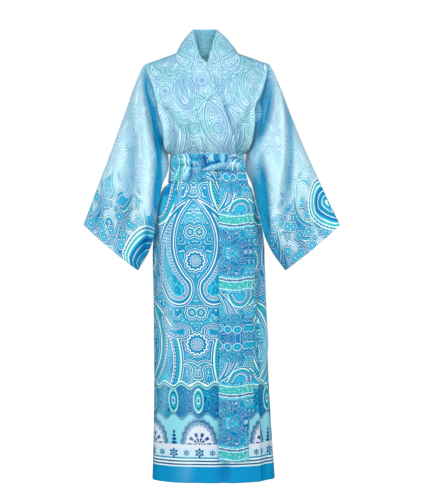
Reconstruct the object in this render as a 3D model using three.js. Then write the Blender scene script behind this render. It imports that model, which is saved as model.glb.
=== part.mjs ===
// A long wrapped kimono robe with its sash, hanging in the shape of a standing wearer, with nobody in it.
// Millimetres. +Z is up, the front faces -Y, and +X is the wearer's left.
// The origin lies between the two shoulder-neck points, where the wearer's shoulders carry the robe.
import * as THREE from "three";

// Cloth thicknesses and clearances
const CLOTH = 1.6;
const BAND_CLOTH = 2.2;
const SASH_CLOTH = 1.8;
const SEAM_INSET = 0.26;
const BAND_INSET = 0.5;
const UNDER_LAYER = -5.5;
const NORMAL_STEP = 0.5;

// Main sizes of the cut
const SHOULDER_TO_HEM = 1416;
const ARMHOLE_LENGTH = 392;
const ARMHOLE_FRONT_ANGLE = 23;
const ARMHOLE_BACK_ANGLE = 20;
const NECK_HALF = 96;
const BACK_NECK_DROP = 62;
const BACK_NECK_SETTLED = 234;
const SASH_WIDTH = 90;

// Mesh steps
const ARMHOLE_STEPS = 12;
const FRONT_COLUMNS = 10;
const BACK_NECK_COLUMNS = 5;
const BAND_COLUMNS = 3;
const SLEEVE_STEPS = 14;
const SASH_AROUND = 48;
const SASH_ROWS = 4;

// Sections of the body, by the length of cloth down from the shoulder line: the height of the centre, the
// half width, the depth in front and behind, how far the sides hang below the centre, the sideways lean, and
// the roundness (1 is an ellipse, less is squarer).
const BODY = [
  { down: 0, height: 37, half: 195, front: 0, back: 0, drop: 70, lean: 0, round: 1.0 },
  { down: 30, height: 29, half: 200, front: 26, back: 30, drop: 71, lean: 0, round: 1.0 },
  { down: 60, height: 8, half: 204, front: 48, back: 62, drop: 66, lean: 0, round: 0.98 },
  { down: 108, height: -35, half: 206, front: 74, back: 84, drop: 50, lean: 1, round: 0.95 },
  { down: 175, height: -100, half: 201, front: 98, back: 99, drop: 28, lean: 2, round: 0.92 },
  { down: 246, height: -170, half: 183, front: 114, back: 103, drop: 12, lean: 4, round: 0.9 },
  { down: 316, height: -240, half: 162, front: 117, back: 98, drop: 5, lean: 3, round: 0.9 },
  { down: 362, height: -284, half: 144, front: 110, back: 90, drop: 0, lean: 1, round: 0.92 },
  { down: ARMHOLE_LENGTH, height: -311, half: 122, front: 97, back: 82, drop: 0, lean: 0, round: 0.95 },
  { down: 402, height: -319, half: 112, front: 90, back: 78, drop: 0, lean: 0, round: 0.95 },
  { down: 440, height: -356, half: 112, front: 86, back: 76, drop: 0, lean: 0, round: 0.95 },
  { down: 488, height: -403, half: 119, front: 89, back: 80, drop: 0, lean: 0, round: 0.95 },
  { down: 506, height: -420, half: 138, front: 97, back: 95, drop: 0, lean: 0, round: 0.92 },
  { down: 530, height: -443, half: 147, front: 101, back: 103, drop: 0, lean: 0, round: 0.91 },
  { down: 560, height: -473, half: 155, front: 105, back: 108, drop: 0, lean: 1, round: 0.9 },
  { down: 600, height: -512, half: 163, front: 109, back: 115, drop: 0, lean: 2, round: 0.88 },
  { down: 650, height: -562, half: 171, front: 111, back: 120, drop: 0, lean: 4, round: 0.88 },
  { down: 710, height: -622, half: 175, front: 110, back: 120, drop: 0, lean: 5, round: 0.88 },
  { down: 880, height: -792, half: 176, front: 103, back: 113, drop: 0, lean: 9, round: 0.87 },
  { down: 1080, height: -992, half: 178, front: 97, back: 107, drop: 0, lean: 13, round: 0.87 },
  { down: 1270, height: -1182, half: 184, front: 94, back: 105, drop: 0, lean: 17, round: 0.88 },
  { down: SHOULDER_TO_HEM, height: -1328, half: 191, front: 95, back: 106, drop: 0, lean: 20, round: 0.88 },
];

// Levels below the armhole where every body panel has a row
const LOWER_LEVELS = [
  402, 414, 434, 462, 488, 506, 530, 560, 600, 650,
  710, 790, 880, 980, 1080, 1180, 1270, 1345, SHOULDER_TO_HEM,
];

// The right front, by length down: how far from the centre its band is sewn on, and where the band's free
// edge lies.
const FRONT_EDGE = [
  { down: 0, seam: -96, edge: -39 },
  { down: 25, seam: -97, edge: -31 },
  { down: 60, seam: -93, edge: -19 },
  { down: 108, seam: -86, edge: 0 },
  { down: 175, seam: -68, edge: 21 },
  { down: 246, seam: -50, edge: 45 },
  { down: 316, seam: -27, edge: 71 },
  { down: 360, seam: -11, edge: 84 },
  { down: 395, seam: -2, edge: 90 },
  { down: 484, seam: 17, edge: 108 },
  { down: 553, seam: 33, edge: 124 },
  { down: 645, seam: 45, edge: 137 },
  { down: 771, seam: 49, edge: 141 },
  { down: 1016, seam: 52, edge: 144 },
  { down: SHOULDER_TO_HEM, seam: 57, edge: 149 },
];
const EDGE_LIFT = 28;

// The lengths down over which the band changes from standing round the neck to lying on the front: where its
// free edge comes down level with its seam, where the under band slips behind, and where its edge and middle
// lie flat.
const BAND_SETTLES = { level: [300, 480], behind: [40, 100], edge: [95, 150], middle: [60, 190] };
const NECK_BULGE_FORWARD = -0.5;
const NECK_BULGE_UP = 0.4;

// The band's free edge round the neck, by length down its seam: out from the centre, back, and up.
const NECK_LEAN = -7;
const NECK_EDGE = [
  { down: 0, out: 38, back: 4, up: 77 },
  { down: 25, out: 31, back: -14, up: 56 },
  { down: 54, out: 21, back: -34, up: 26 },
  { down: 93, out: 8, back: -53, up: -9 },
  { down: 138, out: -3, back: -70, up: -44 },
];
const NECK_BACK = { depth: 50, up: 87, bulge: 5 };

// Soft flutes of the skirt: the angle from the centre front, half width in degrees, height of the ridge (a
// trough is negative), and the lengths down where it starts and where it is full.
const SKIRT_FOLDS = [
  { angle: -150, wide: 13, ridge: 7, from: 560, full: 1416 },
  { angle: -118, wide: 12, ridge: -7, from: 640, full: 1380 },
  { angle: -62, wide: 13, ridge: 6, from: 640, full: 1400 },
  { angle: -36, wide: 12, ridge: 5, from: 700, full: 1400 },
  { angle: -14, wide: 12, ridge: -6, from: 620, full: 1380 },
  { angle: 12, wide: 14, ridge: 5, from: 760, full: 1416 },
  { angle: 66, wide: 9, ridge: -5, from: 560, full: 1200 },
  { angle: 108, wide: 13, ridge: 6, from: 700, full: 1400 },
  { angle: 140, wide: 14, ridge: -7, from: 620, full: 1390 },
  { angle: 172, wide: 13, ridge: 8, from: 560, full: 1416 },
];

// The sleeve, from armhole (0) to cuff (1): its top edge and its underarm edge as places out from the
// centre, back and up, and how far it bows in front of and behind the sheet between them.
const SLEEVE_TOP = [
  { along: 0, out: 197, back: 0, up: -33 },
  { along: 0.1, out: 220, back: 3, up: -83 },
  { along: 0.25, out: 249, back: 3, up: -159 },
  { along: 0.4, out: 277, back: 0, up: -234 },
  { along: 0.55, out: 306, back: -4, up: -310 },
  { along: 0.7, out: 337, back: -10, up: -385 },
  { along: 0.85, out: 368, back: -15, up: -461 },
  { along: 1, out: 400, back: -20, up: -536 },
];
const SLEEVE_UNDER = [
  { along: 0, out: 122, back: 0, up: -311 },
  { along: 0.1, out: 128, back: -6, up: -356 },
  { along: 0.25, out: 142, back: -28, up: -412 },
  { along: 0.4, out: 156, back: -48, up: -462 },
  { along: 0.55, out: 165, back: -58, up: -512 },
  { along: 0.7, out: 175, back: -60, up: -564 },
  { along: 0.85, out: 196, back: -50, up: -618 },
  { along: 1, out: 229, back: -38, up: -678 },
];
const SLEEVE_DEPTH = [
  { along: 0, front: 50, rear: 46 },
  { along: 0.1, front: 50, rear: 44 },
  { along: 0.25, front: 52, rear: 42 },
  { along: 0.4, front: 50, rear: 40 },
  { along: 0.55, front: 46, rear: 38 },
  { along: 0.7, front: 40, rear: 36 },
  { along: 0.85, front: 34, rear: 34 },
  { along: 1, front: 30, rear: 30 },
];
const SLEEVE_ROOT = 0.22;
const RING_SPREAD = 1.15;
const UNDERARM_FLATTER = 0.35;
const ARMHOLE_EASE = { swell: 12, start: 0.06, from: 0.08, gone: 0.35 };
const CUFF_SAG = { drop: 9, in: 5.4, from: 0.6 };
const CUFF_SHIFT = 15;

// Upright creases of the sleeves, which hang from the arm: the wearer's side (1 is left), distance out, half
// width, ridge height, and the heights where each starts and ends.
const SLEEVE_CREASES = [
  { side: 1, out: 214, wide: 9, ridge: 9, top: -90, bottom: -470 },
  { side: 1, out: 236, wide: 13, ridge: -7, top: -110, bottom: -520 },
  { side: -1, out: 182, wide: 11, ridge: 8, top: -80, bottom: -520 },
  { side: -1, out: 258, wide: 18, ridge: -5, top: -180, bottom: -600 },
];
const CREASE_FADE = { top: 70, bottom: 90 };

// Monotone cubic value of one column of a table, by its key column
function readTable(table, key, column, at) {
  const last = table.length - 1;
  if (at <= table[0][key]) return table[0][column];
  if (at >= table[last][key]) return table[last][column];
  let i = 0;
  while (at > table[i + 1][key]) i++;
  const slope = (k) => (table[k + 1][column] - table[k][column]) / (table[k + 1][key] - table[k][key]);
  const tangent = (k) => {
    if (k === 0) return slope(0);
    if (k === last) return slope(last - 1);
    const before = slope(k - 1);
    const after = slope(k);
    return before * after <= 0 ? 0 : (2 * before * after) / (before + after);
  };
  const step = table[i + 1][key] - table[i][key];
  const t = (at - table[i][key]) / step;
  const h = t * t * (3 - 2 * t);
  return (
    table[i][column] * (1 - h) +
    table[i + 1][column] * h +
    step * t * (1 - t) * (tangent(i) * (1 - t) - tangent(i + 1) * t)
  );
}

const smooth = (from, to, x) => {
  const t = Math.min(1, Math.max(0, (x - from) / (to - from)));
  return t * t * (3 - 2 * t);
};
const mix = (a, b, t) => a + (b - a) * t;
const signedPower = (x, p) => Math.sign(x) * Math.abs(x) ** p;
const angleBetween = (a, b) => ((((a - b + 180) % 360) + 360) % 360) - 180;

function foldRidge(angle, down) {
  let ridge = 0;
  for (const fold of SKIRT_FOLDS) {
    const away = angleBetween(angle, fold.angle) / fold.wide;
    ridge += fold.ridge * Math.exp(-away * away) * smooth(fold.from, fold.full, down);
  }
  return ridge;
}

// A point of the body's surface. The angle is in degrees from the centre front towards the wearer's left.
function bodyRaw(angle, down) {
  const at = (column) => readTable(BODY, "down", column, down);
  const turn = THREE.MathUtils.degToRad(angle);
  const sine = signedPower(Math.sin(turn), at("round"));
  const cosine = signedPower(Math.cos(turn), at("round"));
  const grow = 1 + foldRidge(angle, down) / at("half");
  return new THREE.Vector3(
    at("lean") + at("half") * sine * grow,
    -(cosine > 0 ? at("front") : at("back")) * cosine * grow,
    at("height") - at("drop") * Math.abs(Math.sin(turn)),
  );
}

function bodyPoint(angle, down, outward = 0) {
  const point = bodyRaw(angle, down);
  if (!outward) return point;
  const across = bodyRaw(angle + NORMAL_STEP, down).sub(bodyRaw(angle - NORMAL_STEP, down));
  const along = bodyRaw(angle, down + NORMAL_STEP).sub(bodyRaw(angle, down - NORMAL_STEP));
  return point.addScaledVector(across.cross(along).normalize(), -outward);
}

// The angle of a point that lies a distance to the side of the centre
function angleAt(aside, down) {
  const share = aside / readTable(BODY, "down", "half", down);
  const sine = signedPower(share, 1 / readTable(BODY, "down", "round", down));
  return THREE.MathUtils.radToDeg(Math.asin(sine));
}
const seamAngle = (down) => angleAt(readTable(FRONT_EDGE, "down", "seam", down), down);
const edgeAngle = (down) => angleAt(readTable(FRONT_EDGE, "down", "edge", down), down);

// How far the left front lies inside the right one: it slips under past the right band's free edge. The
// first two are degrees past that edge, and the last two are lengths down from the shoulder.
const UNDER_START = 26;
const UNDER_FULL = 7;
const UNDER_FROM = 60;
const UNDER_BY = 120;
const underLayer = (angle, down) =>
  UNDER_LAYER *
  smooth(edgeAngle(down) + UNDER_START, edgeAngle(down) + UNDER_FULL, angle) *
  smooth(UNDER_FROM, UNDER_BY, down);

// Levels of the rows: spaced as the cosine down the armhole, so that its loop is round at both ends
const armholeLevels = Array.from(
  { length: ARMHOLE_STEPS + 1 },
  (_, i) => (ARMHOLE_LENGTH * (1 - Math.cos((Math.PI * i) / ARMHOLE_STEPS))) / 2,
);
const levels = [...armholeLevels, ...LOWER_LEVELS];

function armholeOpen(down) {
  const share = Math.min(1, down / ARMHOLE_LENGTH);
  return 2 * Math.sqrt(share * (1 - share));
}
const frontSide = (down) => 90 - ARMHOLE_FRONT_ANGLE * armholeOpen(down);
const backSide = (down) => 90 + ARMHOLE_BACK_ANGLE * armholeOpen(down);

// Grids of points. Each runs from the shoulder to the hem by rows, and its columns run so that the normal
// points out.
function rightFrontGrid() {
  return levels.map((down) =>
    Array.from({ length: FRONT_COLUMNS + 1 }, (_, j) =>
      bodyPoint(mix(-frontSide(down), seamAngle(down), j / FRONT_COLUMNS), down),
    ),
  );
}

function leftFrontGrid() {
  return levels.map((down) =>
    Array.from({ length: FRONT_COLUMNS + 1 }, (_, j) => {
      const angle = mix(-seamAngle(down), frontSide(down), j / FRONT_COLUMNS);
      return bodyPoint(angle, down, underLayer(angle, down));
    }),
  );
}

const NECK_ANGLE = 180 - THREE.MathUtils.radToDeg(Math.asin(NECK_HALF / BODY[0].half));
const NECK_SHARE = (NECK_ANGLE - 90) / 90;

// Shares of the way from a side seam to the centre back where the back's columns lie
const backShares = [
  ...Array.from({ length: FRONT_COLUMNS }, (_, j) => (NECK_SHARE * j) / FRONT_COLUMNS),
  ...Array.from(
    { length: BACK_NECK_COLUMNS + 1 },
    (_, j) => 1 - (1 - NECK_SHARE) * Math.cos((Math.PI * j) / (2 * BACK_NECK_COLUMNS)),
  ),
];

// The back neckline dips in an ellipse between the shoulder lines.
function backNeckDip(share) {
  if (share <= NECK_SHARE) return 0;
  const toCentre = (1 - share) / (1 - NECK_SHARE);
  return BACK_NECK_DROP * Math.sqrt(1 - toCentre * toCentre);
}

function backPoint(share, down, side) {
  const dip = backNeckDip(share);
  const pressed = dip + (down * (BACK_NECK_SETTLED - dip)) / BACK_NECK_SETTLED;
  const settled = down >= BACK_NECK_SETTLED ? down : pressed;
  return bodyPoint(side * mix(backSide(settled), 180, share), settled);
}

function backGrid() {
  return levels.map((down) => [
    ...backShares.map((share) => backPoint(share, down, 1)),
    ...backShares.slice(0, -1).reverse().map((share) => backPoint(share, down, -1)),
  ]);
}

// The band: each row runs from its seam on the panel to its free edge, through a middle point.
function bandRow(seam, middle, edge) {
  return Array.from({ length: BAND_COLUMNS + 1 }, (_, j) => {
    const t = j / BAND_COLUMNS;
    return new THREE.Vector3()
      .addScaledVector(seam, (1 - t) * (1 - 2 * t))
      .addScaledVector(middle, 4 * t * (1 - t))
      .addScaledVector(edge, t * (2 * t - 1));
  });
}

// Side -1 is the wearer's right, whose band lies on top.
function bandFrontRow(down, side) {
  const angleOf = (angle) => (side < 0 ? angle : -angle);
  const layer = (angle, at) => (side < 0 ? 0 : underLayer(angle, at));
  const edgeDown = Math.max(0, down - EDGE_LIFT * (1 - smooth(...BAND_SETTLES.level, down)));
  const seamTurn = angleOf(seamAngle(down));
  const edgeTurn = angleOf(edgeAngle(edgeDown));
  const seam = bodyPoint(seamTurn, down, layer(seamTurn, down));
  const onBody = bodyPoint(edgeTurn, edgeDown, layer(edgeTurn, edgeDown));
  const at = (column) => readTable(NECK_EDGE, "down", column, down);
  const behind = side < 0 ? 0 : -UNDER_LAYER * smooth(...BAND_SETTLES.behind, down);
  const atNeck = new THREE.Vector3(NECK_LEAN + side * at("out"), at("back") + behind, at("up"));
  const edge = atNeck.lerp(onBody, smooth(...BAND_SETTLES.edge, down));
  const middleDown = (down + edgeDown) / 2;
  const middleTurn = (seamTurn + edgeTurn) / 2;
  const middleOnBody = bodyPoint(middleTurn, middleDown, layer(middleTurn, middleDown));
  const outward = new THREE.Vector3(side, NECK_BULGE_FORWARD, NECK_BULGE_UP).normalize();
  const middleAtNeck = seam.clone().lerp(edge, 0.5).addScaledVector(outward, NECK_BACK.bulge);
  return bandRow(seam, middleAtNeck.lerp(middleOnBody, smooth(...BAND_SETTLES.middle, down)), edge);
}

function bandBackRow(share, side) {
  const seam = backPoint(share, 0, side);
  const toCentre = (1 - share) / (1 - NECK_SHARE);
  const round = Math.sqrt(1 - toCentre * toCentre);
  const { out, back, up } = NECK_EDGE[0];
  const edge = new THREE.Vector3(
    NECK_LEAN + side * out * toCentre,
    mix(back, NECK_BACK.depth, round),
    mix(up, NECK_BACK.up, round),
  );
  const outward = new THREE.Vector3(side * toCentre, 1 - toCentre, 0).normalize();
  const middle = seam.clone().lerp(edge, 0.5).addScaledVector(outward, NECK_BACK.bulge);
  return bandRow(seam, middle, edge);
}

// Each half of the band is in two lengths: the collar and lapel, down to a join under the sash, and the
// skirt's length.
const BAND_JOIN = 434;

function bandGrid(side, lapel) {
  const neckShares = lapel ? backShares.slice(FRONT_COLUMNS + 1).reverse() : [];
  const covered = levels.filter((down) => (lapel ? down <= BAND_JOIN : down >= BAND_JOIN));
  const rows = [
    ...neckShares.map((share) => bandBackRow(share, side)),
    ...covered.map((down) => bandFrontRow(down, side)),
  ];
  return side < 0 ? rows : rows.map((row) => [...row].reverse());
}

// The sleeve: rings from the armhole loop to the cuff. Turn 0 is the top edge, half a turn is the underarm.
function sleevePoint(turn, along, side) {
  const share = (1 - Math.cos(turn)) / 2;
  const between = (column) =>
    mix(
      readTable(SLEEVE_TOP, "along", column, along),
      readTable(SLEEVE_UNDER, "along", column, along),
      share,
    );
  const inFront = Math.sin(turn) >= 0;
  const down = ARMHOLE_LENGTH * share;
  const armhole = bodyPoint(side * (inFront ? frontSide(down) : backSide(down)), down);
  const bow = Math.sin(turn) * (1 - UNDERARM_FLATTER * share);
  const depth = readTable(SLEEVE_DEPTH, "along", inFront ? "front" : "rear", along);
  const sag = Math.sin(Math.PI * share) * smooth(CUFF_SAG.from, 1, along);
  const point = new THREE.Vector3(
    side * (between("out") - CUFF_SAG.in * sag) + CUFF_SHIFT * along ** 2,
    between("back") - bow * depth,
    between("up") - CUFF_SAG.drop * sag,
  );
  if (inFront) point.y -= sleeveCrease(Math.abs(point.x), point.z, side) * Math.sin(turn);
  const blend = 1 - (1 - Math.min(1, along / SLEEVE_ROOT)) ** 2;
  const { swell, start, from, gone } = ARMHOLE_EASE;
  const ease = swell * Math.abs(Math.sin(turn)) * smooth(0, start, along) * (1 - smooth(from, gone, along));
  armhole.lerp(point, blend).x += side * ease;
  return armhole;
}

function sleeveCrease(out, up, side) {
  let ridge = 0;
  for (const { side: creased, out: at, wide, ridge: height, top, bottom } of SLEEVE_CREASES) {
    if (creased !== side) continue;
    const away = (out - at) / wide;
    const fade = smooth(top, top - CREASE_FADE.top, up) * smooth(bottom, bottom + CREASE_FADE.bottom, up);
    ridge += height * Math.exp(-away * away) * fade;
  }
  return ridge;
}

function sleeveGrid(side) {
  const rings = Array.from({ length: SLEEVE_STEPS + 1 }, (_, i) => (i / SLEEVE_STEPS) ** RING_SPREAD);
  const around = 2 * ARMHOLE_STEPS;
  return rings.map((along) =>
    Array.from({ length: around }, (_, j) => sleevePoint((side * -2 * Math.PI * j) / around, along, side)),
  );
}

// The sash: a ring round the waist, over everything
const SASH_TOP = 401;
const SASH_BOTTOM = 490;
const SASH_OUT = 4.5;
const SASH_BOW = 2;

function sashGrid() {
  return Array.from({ length: SASH_ROWS + 1 }, (_, i) => {
    const share = i / SASH_ROWS;
    return Array.from({ length: SASH_AROUND }, (_, j) =>
      bodyPoint(
        (360 * j) / SASH_AROUND,
        mix(SASH_TOP, SASH_BOTTOM, share),
        SASH_OUT + SASH_BOW * Math.sin(Math.PI * share),
      ),
    );
  });
}

// The hanging ends: strips that fall straight from under the knot, one over the other. Above the hip they
// hang clear of the robe, and their tops are gathered a little.
const HIP = 650;
const TAIL_TOP_IN = 14;
const TAIL_GATHER = 13;
const TAIL_TOP = 446;
const TAIL_COLUMNS = 6;
const TAIL_ROW = 46;
const TAILS = {
  sash_end_upper: { left: 37, rows: 20, out: 6.3 },
  sash_end_under: { left: 52, rows: 17, out: 4 },
};

// A point in front of the robe, at a sideways place, on the strips' way down
function tailPoint(x, down, out) {
  const resting = Math.max(down, HIP);
  const lean = readTable(BODY, "down", "lean", resting);
  const point = bodyPoint(angleAt(x - lean, resting), resting, out);
  point.y += TAIL_TOP_IN * (1 - smooth(TAIL_TOP, HIP, down));
  point.z += readTable(BODY, "down", "height", down) - readTable(BODY, "down", "height", resting);
  return point;
}

function tailGrid({ left, rows, out }) {
  return Array.from({ length: rows + 1 }, (_, i) => {
    const down = TAIL_TOP + TAIL_ROW * i;
    const width = SASH_WIDTH - TAIL_GATHER * (1 - smooth(TAIL_TOP, TAIL_TOP + SASH_WIDTH / 2, down));
    const columns = Array.from({ length: TAIL_COLUMNS + 1 }, (_, j) => left + (width * j) / TAIL_COLUMNS);
    return columns.map((x) => tailPoint(x, down, out));
  });
}

// The knot: a wrap over the sash, which turns in at its edges and covers the tops of the hanging ends
const KNOT = { left: -16, right: 104, top: 396, bottom: 458, rest: 9, swell: 7, columns: 10, rows: 8 };
const KNOT_LEFT_DIP = 10;
const KNOT_OVER_ENDS = 8.8;
const KNOT_MEETS_ENDS = [10, 38];
const KNOT_MEETS_BY = 438;

function knotGrid() {
  return Array.from({ length: KNOT.rows + 1 }, (_, i) => {
    const share = i / KNOT.rows;
    const arch = Math.sqrt(4 * share * (1 - share));
    return Array.from({ length: KNOT.columns + 1 }, (_, j) => {
      const across = j / KNOT.columns;
      const swell = KNOT.swell * arch * Math.sqrt(4 * across * (1 - across));
      const aside = mix(KNOT.left, KNOT.right, across);
      const down = mix(KNOT.top + KNOT_LEFT_DIP * (1 - across) ** 2, KNOT.bottom, share);
      const point = bodyPoint(angleAt(aside, down), down, KNOT.rest + swell);
      const over = tailPoint(point.x, down, KNOT_OVER_ENDS + swell);
      over.z = point.z;
      return point.lerp(over, smooth(...KNOT_MEETS_ENDS, point.x) * smooth(KNOT.top, KNOT_MEETS_BY, down));
    });
  });
}

// Walls. Panels that share a seam share its points, so the normals are summed by place and the walls meet in
// a mitre.
const placeKey = (p) => `${p.x.toFixed(2)},${p.y.toFixed(2)},${p.z.toFixed(2)}`;

function addNormals(grid, ring, sums) {
  const columns = grid[0].length;
  const last = ring ? columns : columns - 1;
  for (let i = 0; i < grid.length - 1; i++) {
    for (let j = 0; j < last; j++) {
      const k = (j + 1) % columns;
      const corners = [grid[i][j], grid[i][k], grid[i + 1][k], grid[i + 1][j]];
      const diagonal = corners[2].clone().sub(corners[0]);
      const normal = corners[3].clone().sub(corners[1]).cross(diagonal).normalize();
      for (const corner of corners) {
        const key = placeKey(corner);
        sums.set(key, (sums.get(key) ?? new THREE.Vector3()).add(normal));
      }
    }
  }
}

// Moves an edge point square to its edge, a little into the panel, which leaves the gap at the seam.
function insetPoint(inset, point, before, after, towards) {
  const edge = after.clone().sub(before).normalize();
  const inward = towards.clone().sub(point);
  inward.addScaledVector(edge, -inward.dot(edge)).normalize();
  return inward.multiplyScalar(inset);
}

function insetEdges(grid, ring, inset) {
  const lastRow = grid.length - 1;
  const lastColumn = grid[0].length - 1;
  const wrapped = (j) => (j + lastColumn + 1) % (lastColumn + 1);
  const column = (j) => (ring ? wrapped(j) : Math.min(lastColumn, Math.max(0, j)));
  const row = (i) => Math.min(lastRow, Math.max(0, i));
  return grid.map((points, i) =>
    points.map((point, j) => {
      const moved = point.clone();
      const beside = [grid[i][column(j - 1)], grid[i][column(j + 1)]];
      const along = [grid[row(i - 1)][j], grid[row(i + 1)][j]];
      if (i === 0) moved.add(insetPoint(SEAM_INSET, point, ...beside, grid[1][j]));
      if (i === lastRow) moved.add(insetPoint(SEAM_INSET, point, ...beside, grid[lastRow - 1][j]));
      if (!ring && j === 0) moved.add(insetPoint(inset, point, ...along, grid[i][1]));
      if (!ring && j === lastColumn) moved.add(insetPoint(inset, point, ...along, grid[i][lastColumn - 1]));
      return moved;
    }),
  );
}

function wallGeometry({ grid, ring, thickness, inset = SEAM_INSET, mirrored }, sums) {
  const rows = grid.length;
  const columns = grid[0].length;
  const edged = insetEdges(grid, ring, inset);
  const points = [];
  for (const half of [thickness / 2, -thickness / 2]) {
    edged.forEach((row, i) =>
      row.forEach((p, j) => {
        const normal = sums.get(placeKey(grid[i][j])).clone().normalize();
        points.push(p.clone().addScaledVector(normal, half));
      }),
    );
  }
  const outer = (i, j) => i * columns + (j % columns);
  const inner = (i, j) => rows * columns + outer(i, j);
  const faces = [];
  const quad = (a, b, c, d) => (mirrored ? faces.push(a, b, d, b, c, d) : faces.push(a, b, c, a, c, d));
  const last = ring ? columns : columns - 1;
  for (let i = 0; i < rows - 1; i++) {
    for (let j = 0; j < last; j++) {
      quad(outer(i, j), outer(i + 1, j), outer(i + 1, j + 1), outer(i, j + 1));
      quad(inner(i, j), inner(i, j + 1), inner(i + 1, j + 1), inner(i + 1, j));
    }
    if (!ring) {
      quad(outer(i, 0), inner(i, 0), inner(i + 1, 0), outer(i + 1, 0));
      quad(outer(i, last), outer(i + 1, last), inner(i + 1, last), inner(i, last));
    }
  }
  for (let j = 0; j < last; j++) {
    quad(outer(0, j), outer(0, j + 1), inner(0, j + 1), inner(0, j));
    quad(outer(rows - 1, j), inner(rows - 1, j), inner(rows - 1, j + 1), outer(rows - 1, j + 1));
  }
  const geometry = new THREE.BufferGeometry().setFromPoints(points);
  geometry.setIndex(faces);
  geometry.computeVertexNormals();
  return geometry;
}

// Materials: printed cotton, pale above and on the sleeves, deeper on the skirt and sash
const paleCotton = new THREE.MeshStandardMaterial({ color: "#a9d9ea", roughness: 0.75, metalness: 0 });
const deepCotton = new THREE.MeshStandardMaterial({ color: "#4fb5d6", roughness: 0.72, metalness: 0 });
const sashCotton = new THREE.MeshStandardMaterial({ color: "#3fa3cf", roughness: 0.7, metalness: 0 });

const band = { thickness: BAND_CLOTH, inset: BAND_INSET, material: paleCotton };
const sewn = [
  { name: "back", grid: backGrid(), thickness: CLOTH, material: deepCotton },
  { name: "front_right", grid: rightFrontGrid(), thickness: CLOTH, material: deepCotton },
  { name: "front_left", grid: leftFrontGrid(), thickness: CLOTH, mirrored: true, material: deepCotton },
  { name: "band_right", grid: bandGrid(-1, true), ...band },
  { name: "band_left", grid: bandGrid(1, true), mirrored: true, ...band },
  { name: "band_right_skirt", grid: bandGrid(-1, false), ...band },
  { name: "band_left_skirt", grid: bandGrid(1, false), mirrored: true, ...band },
  { name: "sleeve_right", grid: sleeveGrid(-1), thickness: CLOTH, ring: true, material: paleCotton },
  { name: "sleeve_left", grid: sleeveGrid(1), thickness: CLOTH, ring: true, material: paleCotton },
];
const tied = [
  { name: "sash", grid: sashGrid(), thickness: SASH_CLOTH, ring: true, material: sashCotton },
  { name: "sash_knot", grid: knotGrid(), thickness: SASH_CLOTH, material: sashCotton },
  ...Object.entries(TAILS).map(([name, tail]) => ({
    name,
    grid: tailGrid(tail),
    thickness: SASH_CLOTH,
    material: sashCotton,
  })),
];

const kimono = new THREE.Group();
for (const group of [sewn, ...tied.map((piece) => [piece])]) {
  const sums = new Map();
  for (const { grid, ring } of group) addNormals(grid, ring, sums);
  for (const piece of group) {
    const mesh = new THREE.Mesh(wallGeometry(piece, sums), piece.material);
    mesh.name = piece.name;
    kimono.add(mesh);
  }
}

export default kimono;
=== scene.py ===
import math

import bmesh
import bpy
import numpy as np
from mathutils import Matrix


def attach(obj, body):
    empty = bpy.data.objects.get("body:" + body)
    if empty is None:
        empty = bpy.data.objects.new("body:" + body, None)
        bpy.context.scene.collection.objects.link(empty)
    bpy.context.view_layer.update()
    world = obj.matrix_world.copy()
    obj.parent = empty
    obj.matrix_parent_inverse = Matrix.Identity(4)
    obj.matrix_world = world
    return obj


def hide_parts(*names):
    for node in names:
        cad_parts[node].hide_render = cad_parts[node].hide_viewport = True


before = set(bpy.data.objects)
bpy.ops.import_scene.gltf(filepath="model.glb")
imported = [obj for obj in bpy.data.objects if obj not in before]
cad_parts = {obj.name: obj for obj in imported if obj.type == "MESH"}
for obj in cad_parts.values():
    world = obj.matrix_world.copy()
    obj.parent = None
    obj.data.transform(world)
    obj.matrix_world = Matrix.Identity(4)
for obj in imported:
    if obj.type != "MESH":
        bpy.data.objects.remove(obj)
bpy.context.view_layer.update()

# The back
# One wide panel of printed cotton satin, from the shoulder seams to the hem, cut in one with no waist seam.
# It is sewn to the fronts at the shoulders and sides, and a wearer's figure, who isn't there, still fills it.
MM = 0.001
SHOULDER_TO_HEM = 1416
ARMHOLE_LENGTH = 392
ARMHOLE_FRONT_ANGLE = 23
ARMHOLE_BACK_ANGLE = 20
NECK_HALF = 96
BACK_NECK_DROP = 62
BACK_NECK_SETTLED = 234
NORMAL_STEP = 0.5
CLOTH_THICKNESS = 1.2


def table(columns, *rows):
    return dict(zip(columns.split(), np.array(rows, float).T))


# Sections of the body by the length of cloth down from the shoulder line, in millimetres
BODY = table(
    "down height half front back drop lean round",
    (0, 37, 195, 0, 0, 70, 0, 1.0),
    (30, 29, 200, 26, 30, 71, 0, 1.0),
    (60, 8, 204, 48, 62, 66, 0, 0.98),
    (108, -35, 206, 74, 84, 50, 1, 0.95),
    (175, -100, 201, 98, 99, 28, 2, 0.92),
    (246, -170, 183, 114, 103, 12, 4, 0.9),
    (316, -240, 162, 117, 98, 5, 3, 0.9),
    (362, -284, 144, 110, 90, 0, 1, 0.92),
    (392, -311, 122, 97, 82, 0, 0, 0.95),
    (402, -319, 112, 90, 78, 0, 0, 0.95),
    (440, -356, 112, 86, 76, 0, 0, 0.95),
    (488, -403, 119, 89, 80, 0, 0, 0.95),
    (506, -420, 138, 97, 95, 0, 0, 0.92),
    (530, -443, 147, 101, 103, 0, 0, 0.91),
    (560, -473, 155, 105, 108, 0, 1, 0.9),
    (600, -512, 163, 109, 115, 0, 2, 0.88),
    (650, -562, 171, 111, 120, 0, 4, 0.88),
    (710, -622, 175, 110, 120, 0, 5, 0.88),
    (880, -792, 176, 103, 113, 0, 9, 0.87),
    (1080, -992, 178, 97, 107, 0, 13, 0.87),
    (1270, -1182, 184, 94, 105, 0, 17, 0.88),
    (1416, -1328, 191, 95, 106, 0, 20, 0.88),
)

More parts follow.
